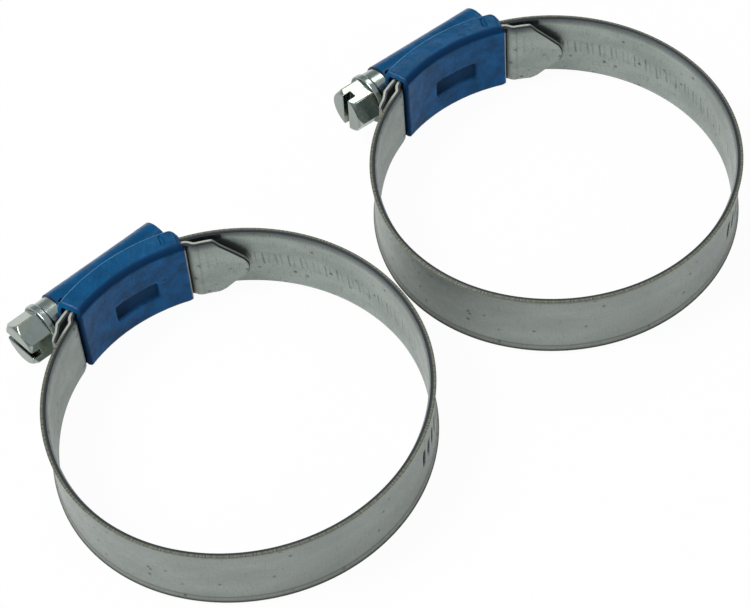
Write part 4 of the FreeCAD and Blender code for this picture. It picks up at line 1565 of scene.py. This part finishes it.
    def make(self, side: Side, finish: bpy.types.Material) -> list[Piece]:
        """Build the three lengths of one clamp's strip.

        Args:
            side: Which clamp.
            finish: The strip's material.

        Returns:
            The three pieces, which stand for the four stretches of the strip.
        """
        name, place = side.value, PLACES[side]
        ends = (self.tongue_end, *self.joins, self.tail_end)
        made = []
        for number, (region, flex) in enumerate(zip(Region, self.flex)):
            bodies, nodes = STRIP_BODIES[number:number + 2], STRIP_NODES[number:number + 2]
            points, quads, flattened, masks = self.surface(ends[number], ends[number + 1])
            piece = write_mesh(name + "_" + region.value, place.to_scene(points), quads,
                               self.sharp_from)
            write_map(piece, *(flattened / 100.0))
            write_masks(piece, {mask: values.ravel() for mask, values in masks.items()})
            piece.data.materials.append(finish)
            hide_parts(*[name + "_" + node for node in nodes])
            radius = float(self.reach(np.array([flex]))[0])
            spot = place.point(radius, flex, self.middle)
            ahead = place.point(1.0, flex + 90.0, 0.0) - place.point(0.0, 0.0, 0.0)
            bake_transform(piece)
            made.append(piece)
        return made


# ---------------------------------------------------------------------------------------
# Screw
# ---------------------------------------------------------------------------------------


@dataclass
class Screw:
    """Slotted hexagon screw with a flange, a neck and a worm.

    Its own frame has the first axis outward from the ring, the third towards the head, and
    the origin at the middle of the worm.
    """

    screw_angle: float = 3.0
    axis_radius: float = 32.0
    middle: float = 6.85
    # The shaft and its thread.
    tip_end: float = -12.1
    tip_bearing: float = -9.9
    head_bearing: float = 7.2
    journal: float = 2.4
    core: float = 2.2
    worm: float = 3.15
    pitch: float = 2.08
    crest: float = 0.6
    root: float = 1.1
    thread_from: float = -8.18
    thread_to: float = 6.18
    round_steps: int = 96
    sharp_from: float = 50.0
    # The head. A soft size is the width over which two surfaces flow together.
    neck_start: float = 8.72
    neck: float = 3.9
    neck_corner: float = 0.22
    flange_start: float = 10.77
    flange: float = 4.2
    flange_corner: float = 0.3
    hex_start: float = 11.97
    hex_end: float = 16.07
    hex_flats: float = 6.8
    hex_soft: float = 0.16
    end_soft: float = 0.14
    bevel: float = 0.9
    slot_width: float = 1.25
    slot_depth: float = 1.5
    slot_soft: float = 0.2
    soft: float = 0.12
    skin_wave: float = 0.005
    skin_length: float = 0.9
    box_half: float = 4.5
    step: float = 0.085
    _worm: tuple = field(default=(), repr=False)

    def to_clamp(self, points: Array) -> Array:
        """Carry points of the screw's frame into the clamp's frame.

        Args:
            points: One row of three coordinates for each point.

        Returns:
            The rows in the clamp's frame.
        """
        cos, sin = unit(self.screw_angle)
        out, side, ahead = points.T
        radius = self.axis_radius + out
        return np.stack([radius * cos - ahead * sin, radius * sin + ahead * cos,
                         self.middle - side], axis=1)

    def shaft_surface(self) -> tuple[Array, Array]:
        """The worm and its bearings: a radius for each place along the axis and angle round it.

        The radius is the shaft's outline, or the thread's trapezium where that is larger. The
        thread's middle moves one pitch along the axis with each turn, and its height fades
        out over half a pitch at both ends.

        Returns:
            Vertex places in the screw's frame, and faces. The ends are closed by poles.
        """
        along = np.concatenate([
            np.linspace(self.tip_end, self.tip_end + 0.4, 6),
            np.arange(self.tip_end + 0.5, self.neck_start - 0.3, 0.11),
            np.linspace(self.neck_start - 0.25, self.neck_start + 0.2, 4),
        ])
        round_it = np.linspace(0.0, 2 * math.pi, self.round_steps, endpoint=False)
        place, turn = np.meshgrid(along, round_it, indexing="ij")
        outline = ((self.tip_end, self.journal - 0.35), (self.tip_end + 0.35, self.journal),
                   (self.tip_bearing, self.journal), (self.tip_bearing + 0.2, self.core),
                   (self.head_bearing - 0.2, self.core), (self.head_bearing, self.journal))
        shaft = np.interp(along, *zip(*outline))[:, None]
        centre = self.pitch * (turn / (2 * math.pi) - 0.5)
        away = np.abs((place - centre + self.pitch / 2) % self.pitch - self.pitch / 2)
        low, high = self.crest / 2, self.root / 2
        tooth = np.clip((high - away) / (high - low), 0.0, 1.0) * (self.worm - self.core)
        tooth *= ramp(place, self.thread_from - 0.5, self.thread_from + 0.7)
        tooth *= 1.0 - ramp(place, self.thread_to - 0.5, self.thread_to + 0.6)
        radius = shaft + tooth * (shaft < self.journal - 0.01)
        points = np.stack([radius * np.cos(turn), radius * np.sin(turn), place], axis=2)
        poles = [np.tile([[0.0, 0.0, end]], (self.round_steps, 1)) for end in along[[0, -1]]]
        points = np.concatenate([poles[0], points.reshape(-1, 3), poles[1]])
        quads = ring_quads(len(along) + 2, self.round_steps).reshape(-1, 4)
        return points, quads[:, [0, 3, 2, 1]]

    def head_shape(self, slot_turn: float) -> Form:
        """Field of the neck, flange and slotted hexagon, for one turn of the slot.

        Args:
            slot_turn: Turn of the slot about the screw's axis, in degrees.

        Returns:
            A function of x, y and z that is negative inside the head.
        """
        cos, sin = unit(slot_turn)

        def shape(x: Array, y: Array, z: Array) -> Array:
            """Discs and a hexagonal prism joined, less the bevel's cone and the slot.

            Args:
                x: Coordinates outward from the ring.
                y: Coordinates downward.
                z: Places along the axis towards the head.

            Returns:
                Signed distance to the head, with a little waviness.
            """
            radius = np.hypot(x, y)
            start, end = self.neck_start - 0.3, self.flange_start + 0.3
            neck = rounded_box(radius, z - (start + end) / 2, self.neck, (end - start) / 2,
                               self.neck_corner)
            start, end = self.flange_start, self.hex_start
            flange = rounded_box(radius, z - (start + end) / 2, self.flange, (end - start) / 2,
                                 self.flange_corner)
            solid = smooth_min(neck, flange, self.soft)
            along, across = x * cos - y * sin, -x * sin - y * cos
            flats = self.hex_flats / 2
            prism = np.abs(along)
            for lean in (60.0, 120.0):
                flat = np.abs(turned(along, across, lean)[0])
                prism = smooth_max(prism, flat, self.hex_soft)
            prism = smooth_max(prism - flats, z - self.hex_end, self.end_soft)
            prism = np.maximum(prism, self.hex_start - 0.3 - z)
            cone = (radius - flats + 0.1 + (z - self.hex_end) * self.bevel) / 1.35
            prism = smooth_max(prism, cone, self.soft)
            solid = smooth_min(solid, prism, self.hex_soft)
            slot = smooth_max(np.abs(across) - self.slot_width / 2,
                              self.hex_end - self.slot_depth - z, self.slot_soft)
            solid = smooth_max(solid, -slot, self.soft)
            return solid - self.skin_wave * waviness(x, y, z, self.skin_length)

        return shape

    def head_shade(self, points: Array, slot_turn: float) -> Array:
        """Painted shade on the head: in its slot, on its end, at both steps and under its neck.

        Args:
            points: Vertex places in the screw's frame.
            slot_turn: Turn of the slot about the screw's axis, in degrees.

        Returns:
            The strengths, from zero to one.
        """
        cos, sin = unit(slot_turn)
        x, y, height = points.T
        radius, across = np.hypot(x, y), np.abs(x * sin + y * cos)
        half, floor = self.slot_width / 2, self.hex_end - self.slot_depth
        deep = 0.9 * (1.0 - ramp(across, half - 0.05, half + 0.1))
        deep *= ramp(height, floor - 0.15, floor) * ramp(self.hex_end - height, 0.1, 0.7)
        for step, inset in ((self.hex_start, 0.15), (self.flange_start, 0.1)):
            deep += 0.8 * bell(height, step, 0.13) * (radius < self.flange - inset)
        # Painted shadow on the neck's side that faces the ring.
        under = ramp(-x / (radius + 1e-6), 0.45, 0.75)
        under *= 1.0 - ramp(height, self.flange_start, 11.5)
        # Painted shade on the head's end face.
        end = ramp(height, self.hex_end - 0.40, self.hex_end - 0.12)
        return np.clip(deep + 0.85 * under + 0.34 * end, 0.0, 1.0)

    def make(self, side: Side, finish: bpy.types.Material) -> list[Piece]:
        """Build one clamp's screw as a worm and a head, and dress them.

        Args:
            side: Which clamp.
            finish: The screw's material.

        Returns:
            Both pieces, which turn with the worm's body.
        """
        place = PLACES[side]
        if not self._worm:
            self._worm = self.shaft_surface()
        points, quads = self._worm
        worm = write_mesh(side.value + "_screw_worm", place.to_scene(self.to_clamp(points)),
                          quads, self.sharp_from)
        radius = np.hypot(points[:, 0], points[:, 1])
        # Painted shade in the thread's roots.
        write_masks(worm, {"deep": 1.0 - ramp(radius, self.core, self.worm - 0.2)})
        step = self.step * 1.0
        points, quads = net_surface(
            self.head_shape(place.slot_turn),
            (-self.box_half, -self.box_half, self.neck_start - 0.5),
            (self.box_half, self.box_half, self.hex_end + 0.3), step,
        )
        head = write_mesh(side.value + "_screw_head", place.to_scene(self.to_clamp(points)),
                          quads)
        write_masks(head, {"deep": self.head_shade(points, place.slot_turn)})
        for piece in (worm, head):
            piece.data.materials.append(finish)
            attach(piece, side.value + "_worm")
        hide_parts(side.value + "_screw")
        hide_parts(side.value + "_screw")
        return [worm, head]


# ---------------------------------------------------------------------------------------
# Studio
# ---------------------------------------------------------------------------------------


@dataclass(frozen=True)
class Lamp:
    """One soft square lamp that faces the middle of the floor.

    Attributes:
        name: Its name.
        where: Its place, in metres.
        size: Side of the square, in metres.
        power: Its power, in watts.
        colour: Its colour.
    """

    name: str
    where: Point
    size: float
    power: float
    colour: Colour

    def make(self) -> None:
        """Hang the lamp and turn it to the floor's middle."""
        data = bpy.data.lights.new(self.name, "AREA")
        data.shape, data.size = "SQUARE", self.size
        data.energy, data.color = self.power, self.colour
        lamp = bpy.data.objects.new(self.name, data)
        lamp.location = self.where
        lamp.rotation_mode = "QUATERNION"
        lamp.rotation_quaternion = (-Vector(self.where)).to_track_quat("-Z", "Y")
        bpy.context.scene.collection.objects.link(lamp)


@dataclass
class Studio:
    """Pale floor, soft lamps, a pale world and the camera.

    The camera stands at the picture's distance and height, with the picture's small tilt. The
    world is darkest below its middle height and brighter to the left.
    """

    target: Point = (-1.407, -1.023, 0.85)
    distance: float = 383.403
    elevation: float = 52.058
    tilt: float = 4.992
    focal_pixels: float = 2478.79
    floor_reach: float = 1.5
    floor_colour: tuple[float, ...] = (0.86, 0.86, 0.86, 1.0)
    floor_roughness: float = 0.8
    floor_gloss: float = 0.1
    floor_seen: float = 0.96
    floor_mirrored: float = 0.50
    lamps: tuple[Lamp, ...] = (
        Lamp("key", (-0.50, -0.08, 0.70), 0.40, 5.2, (1.0, 0.99, 0.97)),
        Lamp("side", (0.75, -0.42, 0.50), 0.25, 1.2, (1.0, 1.0, 0.97)),
        Lamp("back", (0.06, 0.52, 0.68), 0.26, 0.72, (1.0, 1.0, 0.93)),
    )
    world_low: tuple = (0.06, (0.40, 0.42, 0.44, 1.0))
    world_middle: tuple = (0.38, (0.30, 0.32, 0.33, 1.0))
    world_high: tuple = (0.95, (0.56, 0.58, 0.60, 1.0))
    world_left: float = 1.18
    world_right: float = 0.70

    def camera(self) -> None:
        """Place the camera: behind the target along the view's line, then turned about it."""
        data = bpy.data.cameras.new("camera")
        data.sensor_width = SENSOR_WIDTH
        data.lens = self.focal_pixels / IMAGE_WIDTH * SENSOR_WIDTH
        data.clip_start, data.clip_end = 0.01, 20.0
        camera = bpy.data.objects.new("camera", data)
        bpy.context.scene.collection.objects.link(camera)
        rise = math.radians(self.elevation)
        back = Vector((0.0, -math.cos(rise), math.sin(rise)))
        camera.location = (Vector(self.target) + back * self.distance) * MILLIMETRE
        camera.rotation_mode = "QUATERNION"
        level = (-back).to_track_quat("-Z", "Y")
        camera.rotation_quaternion = level @ Quaternion((0.0, 0.0, 1.0), -math.radians(self.tilt))
        bpy.context.scene.camera = camera

    def floor(self) -> None:
        """A flat square floor that the camera sees almost white, with the object's shadow."""
        corners = [[-1, -1, 0], [1, -1, 0], [1, 1, 0], [-1, 1, 0]]
        floor = write_mesh("floor", np.array(corners) * self.floor_reach,
                           np.array([[0, 1, 2, 3]]))
        material = bpy.data.materials.new("pale_floor")
        material.use_nodes = True
        tree = material.node_tree
        shader = tree.nodes["Principled BSDF"]
        shader.inputs["Base Color"].default_value = self.floor_colour
        shader.inputs["Roughness"].default_value = self.floor_roughness
        shader.inputs["Specular IOR Level"].default_value = self.floor_gloss
        glow = add_node(tree, "Emission", {"Color": (1.0, 1.0, 1.0, 1.0)})
        mixed = add_node(tree, "MixShader", {0: self._seen(tree), 1: shader.outputs[0],
                                             2: glow.outputs[0]})
        tree.links.new(mixed.outputs[0], tree.nodes["Material Output"].inputs["Surface"])
        floor.data.materials.append(material)

    def _seen(self, tree: Tree) -> Socket:
        """A share that is high for the camera, lower for reflections and zero for light.

        Args:
            tree: The floor's tree.

        Returns:
            The largest of the shares of the three kinds of ray.
        """
        path = add_node(tree, "LightPath")
        share = None
        for ray, most in (("Camera", self.floor_seen), ("Glossy", self.floor_mirrored),
                          ("Transmission", self.floor_mirrored)):
            scaled = add_node(tree, "Math", {0: path.outputs["Is " + ray + " Ray"], 1: most},
                              operation="MULTIPLY").outputs[0]
            if share is None:
                share = scaled
            else:
                share = add_node(tree, "Math", {0: share, 1: scaled},
                                 operation="MAXIMUM").outputs[0]
        return share

    def world(self) -> None:
        """A pale world: its colour goes by height, and its strength from left to right."""
        world = bpy.data.worlds.new("studio")
        bpy.context.scene.world = world
        world.use_nodes = True
        tree = world.node_tree
        background = tree.nodes["Background"]
        direction = add_node(tree, "TexCoord").outputs["Generated"]
        parts = add_node(tree, "SeparateXYZ", {0: direction})
        fade = add_node(tree, "ValToRGB", {"Fac": parts.outputs["Z"]})
        fade.color_ramp.interpolation = "EASE"
        stops = fade.color_ramp.elements
        for stop, (height, colour) in zip(stops, (self.world_low, self.world_high)):
            stop.position, stop.color = height, colour
        stops.new(self.world_middle[0]).color = self.world_middle[1]
        tree.links.new(fade.outputs["Color"], background.inputs["Color"])
        strength = add_node(tree, "MapRange", {"Value": parts.outputs["X"], "From Min": -1.0,
                                               "To Min": self.world_left,
                                               "To Max": self.world_right})
        tree.links.new(strength.outputs[0], background.inputs["Strength"])

    def make(self) -> None:
        """Build the whole studio and keep colours as they are written."""
        self.camera()
        self.floor()
        for lamp in self.lamps:
            lamp.make()
        self.world()
        bpy.context.scene.view_settings.view_transform = "Standard"


def main() -> None:
    """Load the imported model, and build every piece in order."""
    logging.basicConfig(level=logging.INFO, format="%(name)s: %(message)s")
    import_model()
    Studio().make()
    paint = PaintFinish().material()
    steel = StripFinish().material()
    zinc = ZincFinish().material()
    housing, strip, screw = Housing(), Strip(), Screw()
    for side in Side:
        pieces = [housing.make(side, paint), *strip.make(side, steel), *screw.make(side, zinc)]
        for piece in pieces:
            LOG.info("%s: %d faces", piece.name, len(piece.data.polygons))


if __name__ == "__main__":
    main()
